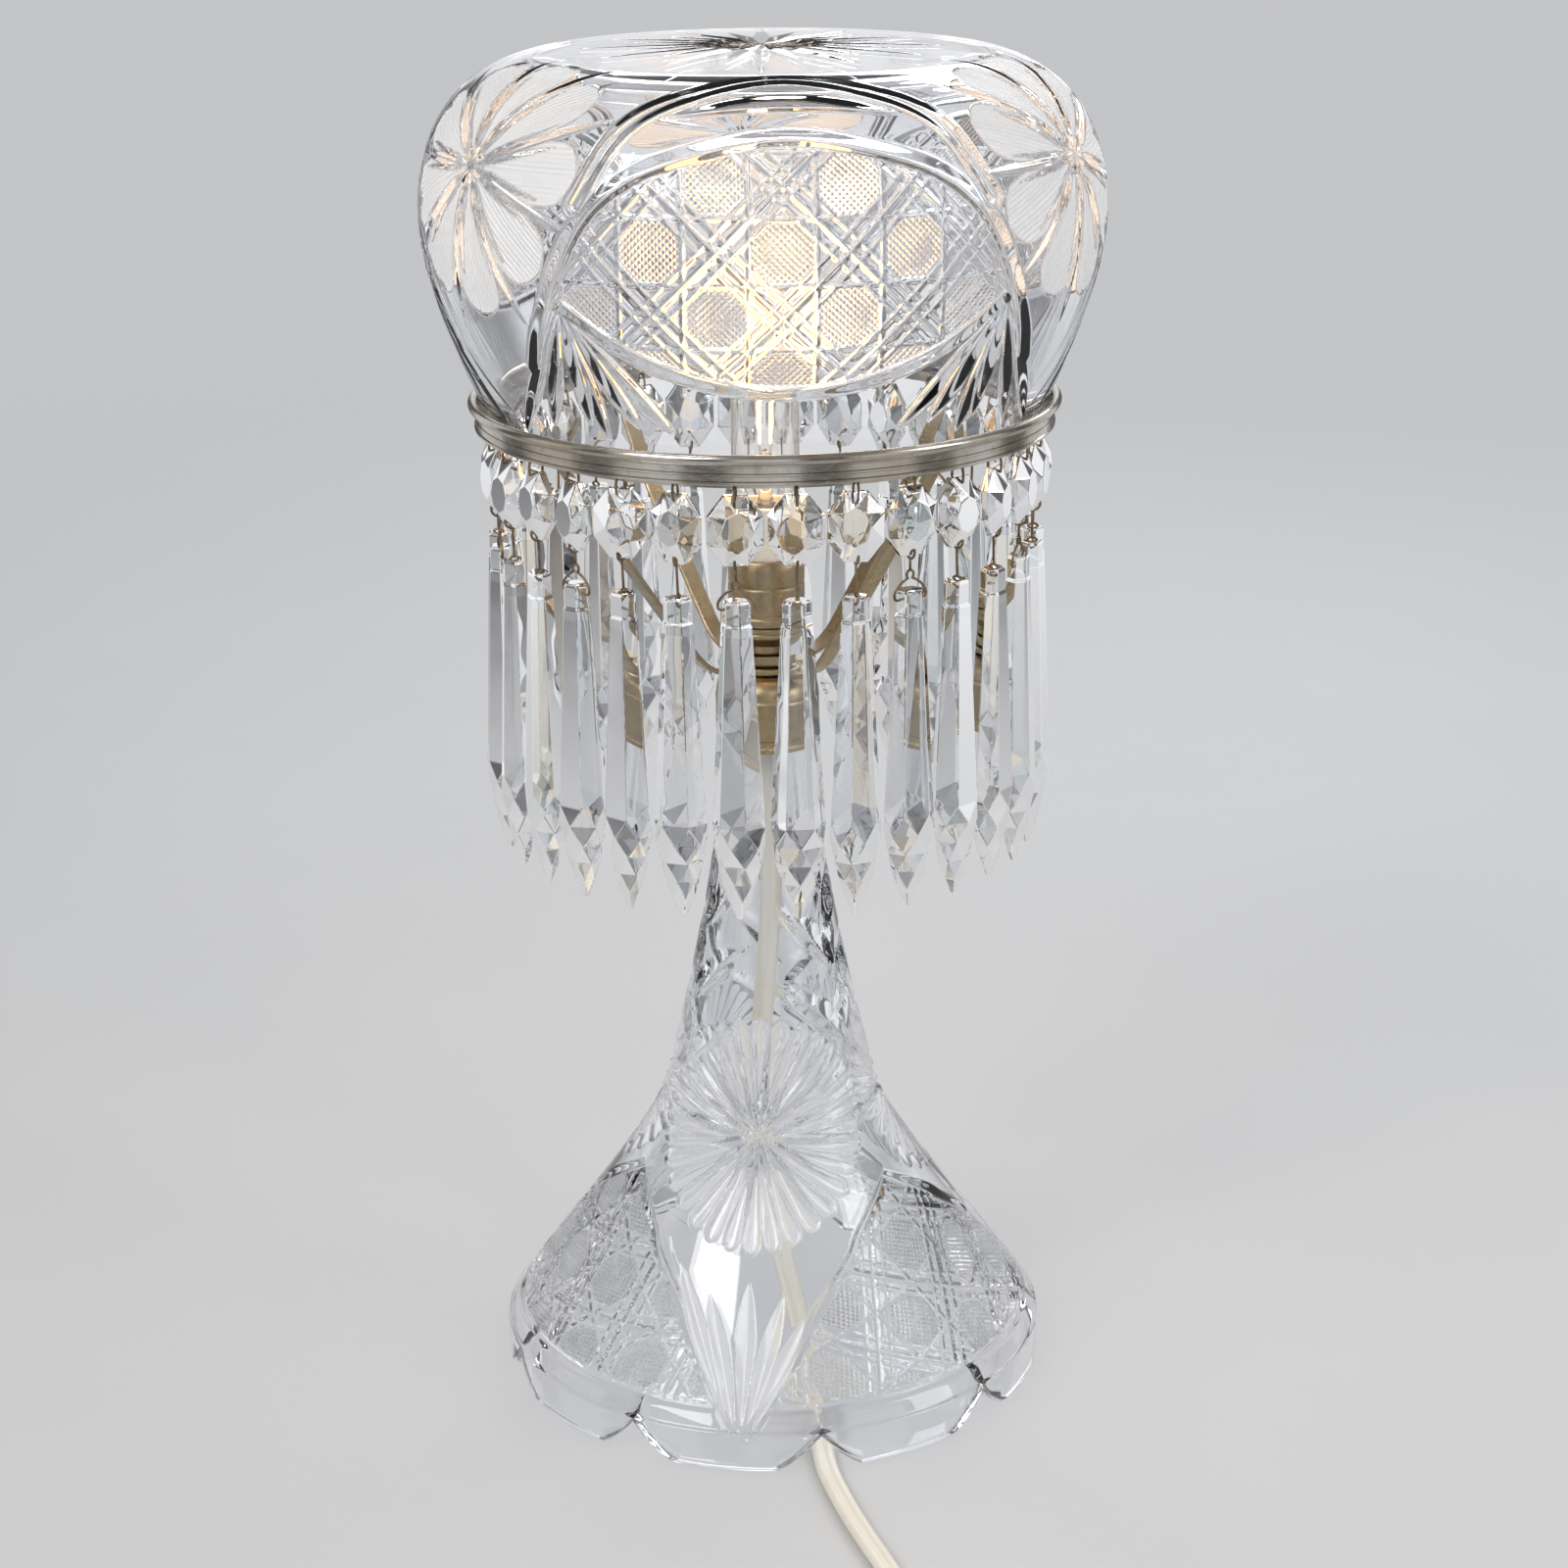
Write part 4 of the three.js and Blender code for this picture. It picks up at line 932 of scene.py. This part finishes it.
def on_shade(points):
    """(bearing off the axis, s) as (distance round the wall, s)."""
    return [(math.radians(a) * float(shade_outline.at(s)[0]), s) for a, s in points]


def mirrored_line(half, steps=6):
    """A smooth line on both sides of the axis from its half with bearings from 0 up."""
    return spline(on_shade([(-a, s) for a, s in half[:0:-1]] + half), steps)


def shade_cuts(s, radius):
    """Depth, frost and hatch on the shade, for rows at distances s with the wall's radius there."""
    s, radius = s[:, None], radius[:, None]
    turn = wrapped(BEARINGS, EYE_AXIS)
    u = radius * np.radians(turn)
    v = s + 0 * u
    upper_line, lower_line = mirrored_line(UPPER_ARC), mirrored_line(LOWER_ARC)
    upper, _ = near_line(u, v, upper_line)
    lower, _ = near_line(u, v, lower_line)
    above = np.interp(u, upper_line[:, 0], upper_line[:, 1])
    below = np.interp(u, lower_line[:, 0], lower_line[:, 1])
    eye = (v < above) & (v > below) & (np.abs(turn) < 41) & (upper > 2.6) & (lower > 1.6)
    lattice, top, x, y = cane_work(u, v, (-1.5, 57.5), 45.0)
    weave = np.stack([x, y, np.where(eye, top, 0)], axis=-1)
    arch, _ = near_line(u, v, mirrored_line(ARCH))
    depth = np.where(eye, lattice, 0)
    for cut in (groove(upper, 2.5, 1.4), groove(lower, 2.0, 1.2), groove(arch - 1.5, 1.1, 0.9),
                curved_leaf(u, v, mirrored_line(CRESCENT, 5), 6.0, 1.3)):
        depth = np.maximum(depth, cut)
    for side in (-1, 1):
        root, *tips = on_shade([(side * a, t) for a, t in (FAN_ROOT, *FAN_TIPS)])
        for tip in tips:
            depth = np.maximum(depth, leaf(u, v, root, tip, width=4.6, depth=1.5, widest=0.6))

    daisy_u, daisy_v = radius * np.radians(wrapped(BEARINGS, EYE_AXIS + PANEL / 2)), v - SHADE_DAISY_S
    flat, bearing = np.hypot(daisy_u, daisy_v), np.arctan2(daisy_u, daisy_v)
    room = (upper > 2.6) & ~eye
    inside, across, beside = petals(flat, bearing, count=9, length=36, width=15.5, start=5.0, tip=6.5,
                                    first=9.0)
    inside &= room
    scoop = (1 - across ** 2) * (1.0 + 0.10 * np.cos(3 * np.pi * across))
    depth = np.where(inside, np.maximum(depth, scoop), depth)
    short_rays = rays(flat, bearing, count=27, lengths=(0.1, 30, 30), width=2.8, depth=1.3, first=9.0)
    long_rays = rays(flat, bearing, count=9, lengths=(43,), width=4.2, depth=1.7, first=29.0)
    ray = np.where(room, np.maximum(short_rays, long_rays), 0)
    depth = np.maximum(depth, ray)
    ground = inside & (ray <= 0.12)
    veins = np.stack([beside, np.full_like(beside, HATCH_PITCH / 2), 1.1 * ground], axis=-1)

    crown = rays(radius, np.radians(BEARINGS), count=24, lengths=(46, 34), width=5.0, depth=1.3)
    depth = np.where(v > CROWN_S, np.maximum(depth, crown), depth)
    return depth, 1.0 * ground, np.where(ground[..., None], veins, weave)


def glass_shade():
    """Cut outside and plain inside, with a lip between them and closed at the top."""
    wall = Wall()
    wall.add(RIM[0] - SHADE_LIP, RIM[1])
    # Rows lie 0.4 mm apart up to the crown, and wider apart on it.
    s = np.concatenate([np.linspace(0.5, 115, 288), np.linspace(116.0, shade_outline.s[-1], 50)])
    depth, frost, weave = shade_cuts(s, shade_outline.at(s)[0])
    depth = softened(depth) * smooth(s, 0.8, 3.0)[:, None]
    wall.add(*shade_outline.under(s, depth), frost, weave)
    outer = wall.rows()
    radius, height = shade_outline.under(np.linspace(shade_outline.s[-1] - 0.5, 1.0, 46), SHADE_WALL)
    keep = (radius[:, 0] > 0.4) & (height[:, 0] > RIM[1] + 1.0)
    wall.add(radius[keep], height[keep])
    wall.add(RIM[0] - SHADE_WALL, RIM[1] + SHADE_LIP)
    wall.add(RIM[0] - SHADE_WALL + SHADE_LIP, RIM[1])
    rows = wall.rows()
    for height in (SHADE_TOP, SHADE_TOP - SHADE_WALL):
        wall.add(0, height, bearings=[0])

    total = rows + 4
    bands = np.arange(rows) != outer - 1
    quads = grid_quads(rows, COLUMNS, True).reshape(rows, -1, 4)[bands].reshape(-1, 4)
    quad_map = grid_map(rows, COLUMNS, total).reshape(rows, -1, 4, 2)[bands]
    i = np.arange(COLUMNS)
    after = (i + 1) % COLUMNS
    last, first, tip = (outer - 1) * COLUMNS, outer * COLUMNS, rows * COLUMNS + 0 * i
    fans = [np.stack(corners, axis=-1) for corners in (
        (last + i, last + after, tip), (tip + 1, first + after, first + i))]
    u = np.stack([i, i + 1, i + 0.5], axis=-1) / COLUMNS
    fan_maps = [np.stack([u, 0 * u + np.array([v, v, v + 1]) / total], axis=-1)
                for v in (total - 3, total - 1.5)]
    return wall.mesh("shade_glass", [quads, np.concatenate(fans)], [quad_map, *fan_maps])


piece(glass_shade(), "shade", "cut_crystal", "glass_shade")


# Strands: wire, octagon, wire and spear prism, built round their own axis and then hung in place

HANG_RADIUS = 70.0
HOLE_HEIGHT = 266.9
LOOP_LENGTH = 5.4
LOOP_RADIUS = 1.9
WIRE = 0.34
HOLE_INSET = 2.5
BEAD_WIDTH = 13.8
BEAD_LENGTH = 17.5
BEAD_THICKNESS = 7.0
BEAD_RIM = 1.6
LINK_LENGTH = 13.5
BODY_LENGTH = 58
STRANDS = 30
PITCH = 360 // STRANDS
FIRST_BEARING = 6
ACROSS, OUTWARD = (1, 0, 0), (0, 1, 0)
PRISM_SLICES = [  # width, drop, and the share of a step by which the ring is turned
    (6.4, 0.0, 0), (7.4, 0.7, 0), (7.4, 5.9, 0), (8.2, 6.5, 0), (8.4, 9.0, 0), (13.9, 57.5, 0),
    (13.6, 62.5, 0.5), (11.6, 67.6, 0), (9.2, 72.6, 0.5), (6.2, 77.4, 0), (1.8, 82.5, 0),
]
# Facet colours painted on the prism glass: near-white is clear glass, grey and dark are painted shade, and
# blue, warm and teal are painted dispersion glints.
PAINTED_FACET_LIGHTS = np.array([(0.955, 0.955, 0.955), (0.68, 0.69, 0.71), (0.28, 0.285, 0.30), (0.82, 0.89, 0.98),
                  (1.0, 0.87, 0.68), (0.82, 0.96, 0.94)])
BEAD_SHARES = (0.48, 0.20, 0.06, 0.09, 0.12, 0.05)
BODY_SHARES = (0.61, 0.26, 0.0, 0.05, 0.06, 0.02)
TIP_SHARES = (0.40, 0.19, 0.24, 0.05, 0.08, 0.04)
bead_top = HOLE_HEIGHT - LOOP_LENGTH + HOLE_INSET
bead_middle = bead_top - BEAD_LENGTH / 2
bead_hole = bead_top - BEAD_LENGTH + HOLE_INSET
prism_hole = bead_hole - LINK_LENGTH
prism_top = prism_hole + HOLE_INSET
rng = np.random.RandomState(11)


def facet_bands(rings, steps):
    """Faces between rings of equally many corners: triangles where a ring is turned half a step."""
    n = len(rings[0])
    faces = [np.arange(n)[::-1]]
    for k, shift in enumerate(np.diff(steps)):
        for i in range(n):
            a, b = k * n + i, k * n + (i + 1) % n
            c, d = a + n, b + n
            if shift == 0:
                faces.append([a, b, d, c])
            elif shift > 0:
                faces += [[a, b, c], [b, d, c]]
            else:
                faces += [[a, d, c], [a, b, d]]
    faces.append((len(rings) - 1) * n + np.arange(n))
    return faces


def bead_parts():
    """An octagon whose tables sit a little off the middle, with eight kite facets on each side."""
    off = rng.uniform(-0.7, 0.7, (2, 2))
    table = rng.uniform(0.46, 0.56, 2)
    reach = 1 / math.cos(math.pi / 8)
    rings, steps = [], []
    for scale, depth, step, (x, z) in (
            (table[0], -BEAD_THICKNESS / 2, 0.0, off[0]), (1.0, -BEAD_RIM / 2, 0.5, (0, 0)),
            (1.0, BEAD_RIM / 2, 0.5, (0, 0)), (table[1], BEAD_THICKNESS / 2, 0.0, off[1])):
        turn = (np.arange(8) + step) * 2 * np.pi / 8
        wide, tall = (size / 2 * reach * scale for size in (BEAD_WIDTH, BEAD_LENGTH))
        rings.append(np.stack([wide * np.cos(turn) + x, np.full(8, depth),
                               bead_middle + tall * np.sin(turn) + z], axis=-1))
        steps.append(step)
    return np.concatenate(rings), facet_bands(rings, steps)


def prism_parts():
    """Drilled head on a ledge, slim body with a wide middle facet, and a point cut in diamonds."""
    rings = []
    for width, drop, step in PRISM_SLICES:
        turn = (np.arange(6) + step) / 6 * 2 * np.pi
        x, y = width / 2 * np.cos(turn), 0.8 * width / 2 * np.sin(turn)
        rings.append(np.stack([x, y, np.full(6, prism_top - drop)], axis=-1))
    return np.concatenate(rings), facet_bands(rings, [step for *_, step in PRISM_SLICES])


def rolled_eye(arc, out, tall, middle, x=0.0):
    """Points of a rolled eye, or of the part of it that the arc covers."""
    return np.stack([x + 0 * arc, out * np.cos(arc), middle + tall * np.sin(arc)], axis=-1)


def hanging_loop(build):
    """The oval loop that hangs the octagon from the ring."""
    arc = np.linspace(0, np.pi, 9)
    top = rolled_eye(arc, LOOP_RADIUS, LOOP_RADIUS, HOLE_HEIGHT - LOOP_RADIUS)
    bottom = rolled_eye(arc + np.pi, LOOP_RADIUS, LOOP_RADIUS, HOLE_HEIGHT - LOOP_LENGTH + LOOP_RADIUS)
    build.add_wire(np.concatenate([top, bottom]), WIRE, ACROSS, True)


def pin_link(build):
    """A pin with a rolled eye at both ends."""
    arc = np.linspace(0.5 * np.pi, 2.4 * np.pi, 18)
    build.add_wire(rolled_eye(arc, 2.0, 1.9, bead_hole - 1.2), WIRE, ACROSS)
    build.add_wire(rolled_eye(arc + np.pi, 1.7, 1.8, prism_hole + 1.4, 0.25), WIRE, ACROSS)
    middle = [(0, 0, bead_hole - 2.9), (0.1, 0, (bead_hole + prism_hole) / 2), (0.25, 0, prism_hole + 3.0)]
    build.add_wire(spline(middle, 5), WIRE, OUTWARD)


def bow_link(build):
    """A bow clip: a small eye over the head, and legs that reach round it into the hole."""
    arc = np.linspace(0.5 * np.pi, 2.5 * np.pi, 18)[:-1]
    build.add_wire(rolled_eye(arc, 2.0, 2.0, bead_hole - 1.4), WIRE, ACROSS, True)
    crown = prism_top + 3.6
    arc = np.linspace(1.3 * np.pi, -0.3 * np.pi, 14)
    small = np.stack([np.cos(arc), 0 * arc, crown + 1.1 * np.sin(arc)], axis=-1)
    right = spline([(0.9, 0, crown - 1.0), (2.7, 0, prism_top + 1.5), (4.25, 0, prism_top - 0.4),
                    (4.45, 0, prism_hole + 0.6), (3.9, 0, prism_hole), (2.4, 0, prism_hole)], 5)
    left = right[::-1] * [-1, 1, 1]
    build.add_wire(np.concatenate([left[:-1], small, right[1:]]), WIRE, OUTWARD)
    build.add_wire([(0, 0, bead_hole - 3.2), (0, 0, crown + 1.0)], WIRE, OUTWARD)


def facet_shares(height):
    """How often each painted facet colour, clear, painted shade or painted glint, comes up for a facet at a
    height.
    """
    if height > prism_top:
        return BEAD_SHARES
    return BODY_SHARES if height > prism_top - BODY_LENGTH else TIP_SHARES


def add_strand(number):
    build = Build()
    for points, faces in (bead_parts(), prism_parts()):
        build.add(turned(points, rng.uniform(-16, 16)), faces)
    hanging_loop(build)
    (pin_link if number % 3 else bow_link)(build)
    bearing = FIRST_BEARING + PITCH * (number - 1)
    build.points = [turned(points - [0, HANG_RADIUS, 0], bearing) for points in build.points]
    mesh = build.mesh(f"strand_{number:02d}_glass_and_wire")
    mesh.polygons.foreach_set("use_smooth", np.array([p.material_index == 1 for p in mesh.polygons]))
    glass_edges = {key for p in mesh.polygons if p.material_index == 0 for key in p.edge_keys}
    mesh.attributes.new("bevel_weight_edge", "FLOAT", "EDGE").data.foreach_set(
        "value", np.array([edge.key in glass_edges for edge in mesh.edges], np.float32))
    # Each facet gets a painted shade or painted glint colour at random, more often dark towards the point.
    facet_painted_lights = [PAINTED_FACET_LIGHTS[rng.choice(len(PAINTED_FACET_LIGHTS), p=facet_shares(p.center.z / MM))] for p in mesh.polygons]
    corners = np.repeat(facet_painted_lights, [p.loop_total for p in mesh.polygons], axis=0)
    mesh.attributes.new("painted_facet_light", "FLOAT_COLOR", "CORNER").data.foreach_set(
        "color", np.insert(corners, 3, 1, axis=1).astype(np.float32).ravel())
    strand = piece(mesh, f"strand_{number:02d}", "prism_crystal", f"strand_{number:02d}")
    bevelled(strand, "ground edges", 0.16, 1, limit_method="WEIGHT")


for number in range(1, STRANDS + 1):
    add_strand(number)


# Gallery ring with a drilled skirt

SHELF = 268.2
HOLE_HALF = 0.75
COLUMNS_PER_HOLE = 12
SKIRT_IN, SKIRT_OUT = 2, 6  # the rows of the profile below which the holes lie, inside and outside


def gallery_ring():
    """Shelf, stepped band, rolled bead and skirt; the skirt's holes are square."""
    half = math.degrees(HOLE_HALF / HANG_RADIUS)
    steps = [-half, *np.linspace(half, PITCH - half, COLUMNS_PER_HOLE)[:-1]]
    bearings = (FIRST_BEARING + PITCH * np.arange(STRANDS)[:, None] + steps).ravel()
    roll = np.radians(np.linspace(-70, 165, 16))
    bead = np.stack([75.2 + 1.3 * np.cos(roll), SHELF + 5.3 + 1.3 * np.sin(roll)], axis=-1)
    profile = np.array([
        (66.5, SHELF), (69.75, SHELF), (69.75, 267.65), (69.75, 266.15), (69.75, 265.6), (70.25, 265.6),
        (70.25, 266.15), (70.25, 267.65), (70.25, SHELF), (73.8, SHELF), (73.9, 267.2), (74.7, 267.2),
        (74.95, 267.5), (74.95, 268.0), (74.55, 268.25), (74.55, 269.3), (74.8, 269.5), (74.8, 269.95),
        (74.5, 270.15), (74.5, 271.6), (74.75, 271.8), (74.75, 272.1), (74.45, 272.25), *bead,
        (73.8, 272.4), (73.8, 269.0), (66.5, 269.0)])
    rows, columns = len(profile), len(bearings)
    drilled = np.arange(0, columns, COLUMNS_PER_HOLE)
    kept = np.ones((rows, columns), bool)
    kept[np.ix_([SKIRT_IN, SKIRT_OUT], drilled)] = False
    sides = [drilled, drilled, drilled + 1, drilled + 1]
    inside, outside = (
        np.stack([(row + step) * columns + side for step, side in zip(order, sides)], axis=-1)
        for row, order in ((SKIRT_IN, (0, 1, 1, 0)), (SKIRT_OUT, (1, 0, 0, 1))))
    walls = np.stack([inside, outside, np.roll(outside, -1, axis=1), np.roll(inside, -1, axis=1)], axis=-1)
    points = place(profile[:, :1], profile[:, 1:], bearings).reshape(-1, 3)
    faces = [grid_quads(rows, columns, True)[kept.ravel()], walls.reshape(-1, 4)]
    return softly(new_mesh("gallery_ring_metal", points, faces), 30)


piece(gallery_ring(), "stand", "aged_nickel", "gallery_ring")


# Spider, cap, nut and socket

ARM_SECTION = [(-2.5, -0.25), (-2.15, -0.6), (2.15, -0.6), (2.5, -0.25), (2.5, 0.25), (2.15, 0.6),
               (-2.15, 0.6), (-2.5, 0.25)]
arm_line = bezier((9.8, 201.2), [
    ((20.35, 201.2), (23.5, 206.7), (27, 211.2)),
    ((39, 226.7), (58.4, 254.3), (65.2, 265.7)),
    ((65.7, 266.5), (66.1, 267.3), (69.05, 267.3)),
], 16)
arm_points, arm_quads, arm_ends = sweep(place(*arm_line.T, 0), ARM_SECTION, (0, 0.3, 1))
for number in range(1, 5):
    arm = new_mesh(f"arm_{number}_strip", turned(arm_points, 90 * number - 51), [arm_quads, arm_ends])
    piece(softly(arm, 30), "stand", "aged_brass", f"spider_arm_{number}")

# Every corner of the turned pieces has a radius, a height and how much of the corner is taken off.
piece(lathe("neck_cap", rounded([
    (13.0, 180.0, 0.2), (13.75, 180.0, 0.3), (13.75, 181.2, 0.25), (13.35, 181.6, 0.2), (13.35, 183.2, 0.2),
    (13.8, 183.6, 0.2), (13.8, 193.6, 0.4), (13.4, 194.1, 0.2), (13.65, 194.6, 0.2), (13.1, 197.4, 1.5),
    (11.3, 199.3, 1.2), (9.0, 200.0, 0.6), (5.1, 200.0, 0.1), (5.1, 198.6, 0), (10.5, 198.6, 0.5),
    (13.0, 195.0, 0.5),
])), "stand", "aged_brass", "fitter_cap")
piece(lathe("hub_disc", rounded([
    (5.1, 200.3, 0), (9.3, 200.3, 0.3), (9.5, 201.9, 0.3), (8.9, 202.1, 0.1), (8.6, 201.8, 0.1),
    (6.4, 201.8, 0.1), (6.2, 202.1, 0.1), (5.1, 202.1, 0),
]), 72), "stand", "aged_brass", "spider_hub")
piece(lathe("socket_cap_brass", rounded([
    (5.1, 205.2, 0), (6.4, 205.2, 0.3), (6.8, 205.9, 0.3), (6.8, 207.6, 0.4), (9.0, 209.3, 0.8),
    (10.1, 210.4, 0.5), (10.4, 210.9, 0.2), (10.4, 211.5, 0.2), (10.05, 211.8, 0.15), (10.4, 212.1, 0.2),
    (10.4, 213.2, 0.2), (9.6, 213.2, 0.1), (9.6, 211.0, 0), (6.0, 208.1, 0), (6.0, 206.0, 0), (5.1, 206.0, 0),
])), "stand", "aged_brass", "socket_cap")
piece(lathe("socket_shell_brass", rounded([
    (10.0, 213.5, 0.1), (10.15, 214.2, 0.2), (10.15, 215.4, 0.2), (9.85, 215.8, 0.15), (9.85, 216.4, 0.15),
    (10.1, 216.8, 0.2), (10.1, 223.4, 0.2), (9.85, 223.7, 0.12), (9.85, 224.1, 0.12), (10.1, 224.4, 0.2),
    (10.1, 229.0, 1.1), (9.5, 231.0, 0.6), (8.9, 231.2, 0.1), (8.9, 230.7, 0), (9.5, 229.6, 0),
    (9.5, 213.5, 0),
])), "stand", "aged_brass", "socket_shell")
piece(lathe("candle_sleeve", rounded([
    (7.7, 214.5, 0.1), (8.6, 214.5, 0.1), (8.6, 243.9, 0.3), (8.75, 244.4, 0.15), (8.75, 245.0, 0.2),
    (8.4, 245.2, 0.1), (7.7, 245.2, 0.2),
])), "stand", "card_sleeve", "socket_sleeve")

THREAD_PITCH = 3.6
THREAD_SIDES = 64
THREAD_ROW = 0.28
THREAD_END = 1.5


def screw_thread(name, bottom, top, radius, wall, rise):
    """A thin rolled tube with thread waves that run out at both ends."""
    heights = np.linspace(bottom, top, int((top - bottom) / THREAD_ROW))[:, None]
    bearings = np.arange(THREAD_SIDES) * 360 / THREAD_SIDES
    wave = rise * 0.5 * (1 + np.cos(2 * np.pi * (heights / THREAD_PITCH - bearings / 360)))
    wave = wave * smooth(heights, bottom, bottom + THREAD_END) * (1 - smooth(heights, top - THREAD_END, top))
    outer, inner = (place(r - wave, heights, bearings) for r in (radius, radius - wall))
    rows = np.concatenate([outer, inner[::-1]])
    return softly(new_mesh(name, rows.reshape(-1, 3), [grid_quads(len(rows), THREAD_SIDES, True)]), 50)


piece(screw_thread("screw_shell_brass", 219.1, 237.1, 6.75, 0.4, 0.4), "stand", "aged_brass", "screw_shell")
piece(screw_thread("bulb_base_threads", 225.6, 244.0, 5.95, 0.38, 0.35), "bulb", "bulb_metal")
piece(lathe("bulb_base_cup", [
    (0, 223.0), (2.8, 223.0), (3.6, 223.4), (5.5, 225.2), (5.95, 225.75), (5.57, 225.9), (5.2, 225.6),
    (3.2, 224.0), (0, 223.9),
], 64), "bulb", "bulb_metal", "bulb_base")
for name, material in (("plaster_ring", plaster), ("threaded_pipe", brass), ("lock_nut", brass),
                       ("socket_body", porcelain), ("centre_contact", brass), ("bulb_tip", plate)):
    dress_node(name, material, 0.2, limit_method="ANGLE")


# Bulb: glass tube, stem with its leads, and the filament loops

BULB_TOP = 331.2
BULB_RADIUS = 8.9
BULB_NECK = 5.25
BULB_WALL = 0.7
FILAMENT_WIRE = 0.28
FILAMENT_RADIUS = 2.5
LEAD_WIRE = 0.22


def bulb_outline(less):
    """Neck, shoulder, tube and dome, by so much less than the glass's outer face."""
    neck, wide, dome = BULB_NECK - less, BULB_RADIUS - less, BULB_TOP - BULB_RADIUS
    shoulder = bezier((neck, 244.5), [((neck, 248.0), (wide, 247.2), (wide, 252.0))], 10)
    arc = np.linspace(0, np.pi / 2, 10)[:-1]
    return [(neck, 240.0), *shoulder, *np.stack([wide * np.cos(arc), dome + wide * np.sin(arc)], axis=-1)]


def filament():
    """Four fine loops between the stem and a hook near the top, and the leads that feed them."""
    build = Build()
    low, high = 262.5, 310.6
    middle = (low + high) / 2
    for turn in np.radians([45, 135, 225, 315]):
        here = FILAMENT_RADIUS * np.array([math.cos(turn), math.sin(turn)])
        there = here[::-1] * [-1, 1]
        line = [(*0.8 * here, low), (*here, middle), (*0.75 * here, high - 1.5),
                (*0.5 * (here + there), high),
                (*0.85 * there, high - 3), (*there, middle), (*0.85 * there, low + 1.0)]
        build.add_wire(spline(line, 10), FILAMENT_WIRE, (0.02, 1, 0.03), material=0)
    for x in (-1.0, 1.0):
        lead = [(x, 0, 259.0), (1.4 * x, 0.3, 261.0), (1.9 * x, 0.6, 263.4)]
        build.add_wire(spline(lead, 6), LEAD_WIRE, (0, 1, 0.1))
    return softly(build.mesh("filament_loops"), 60)


bulb_profile = [*bulb_outline(0), (0, BULB_TOP), (0, BULB_TOP - BULB_WALL), *bulb_outline(BULB_WALL)[::-1]]
piece(lathe("bulb_tube", bulb_profile, 72, 60), "bulb", "bulb_glass", "bulb_glass")
piece(lathe("bulb_stem_glass", [
    (0, 240.3), (4.2, 240.3), (4.0, 241.2), (2.6, 244.0), (1.9, 246.5), (1.7, 256.0), (2.1, 258.2),
    (1.9, 259.6), (0, 260.9),
], 48, 50), "bulb", "bulb_glass", "bulb_stem")
piece(filament(), "bulb", "filament", "bulb_filament")
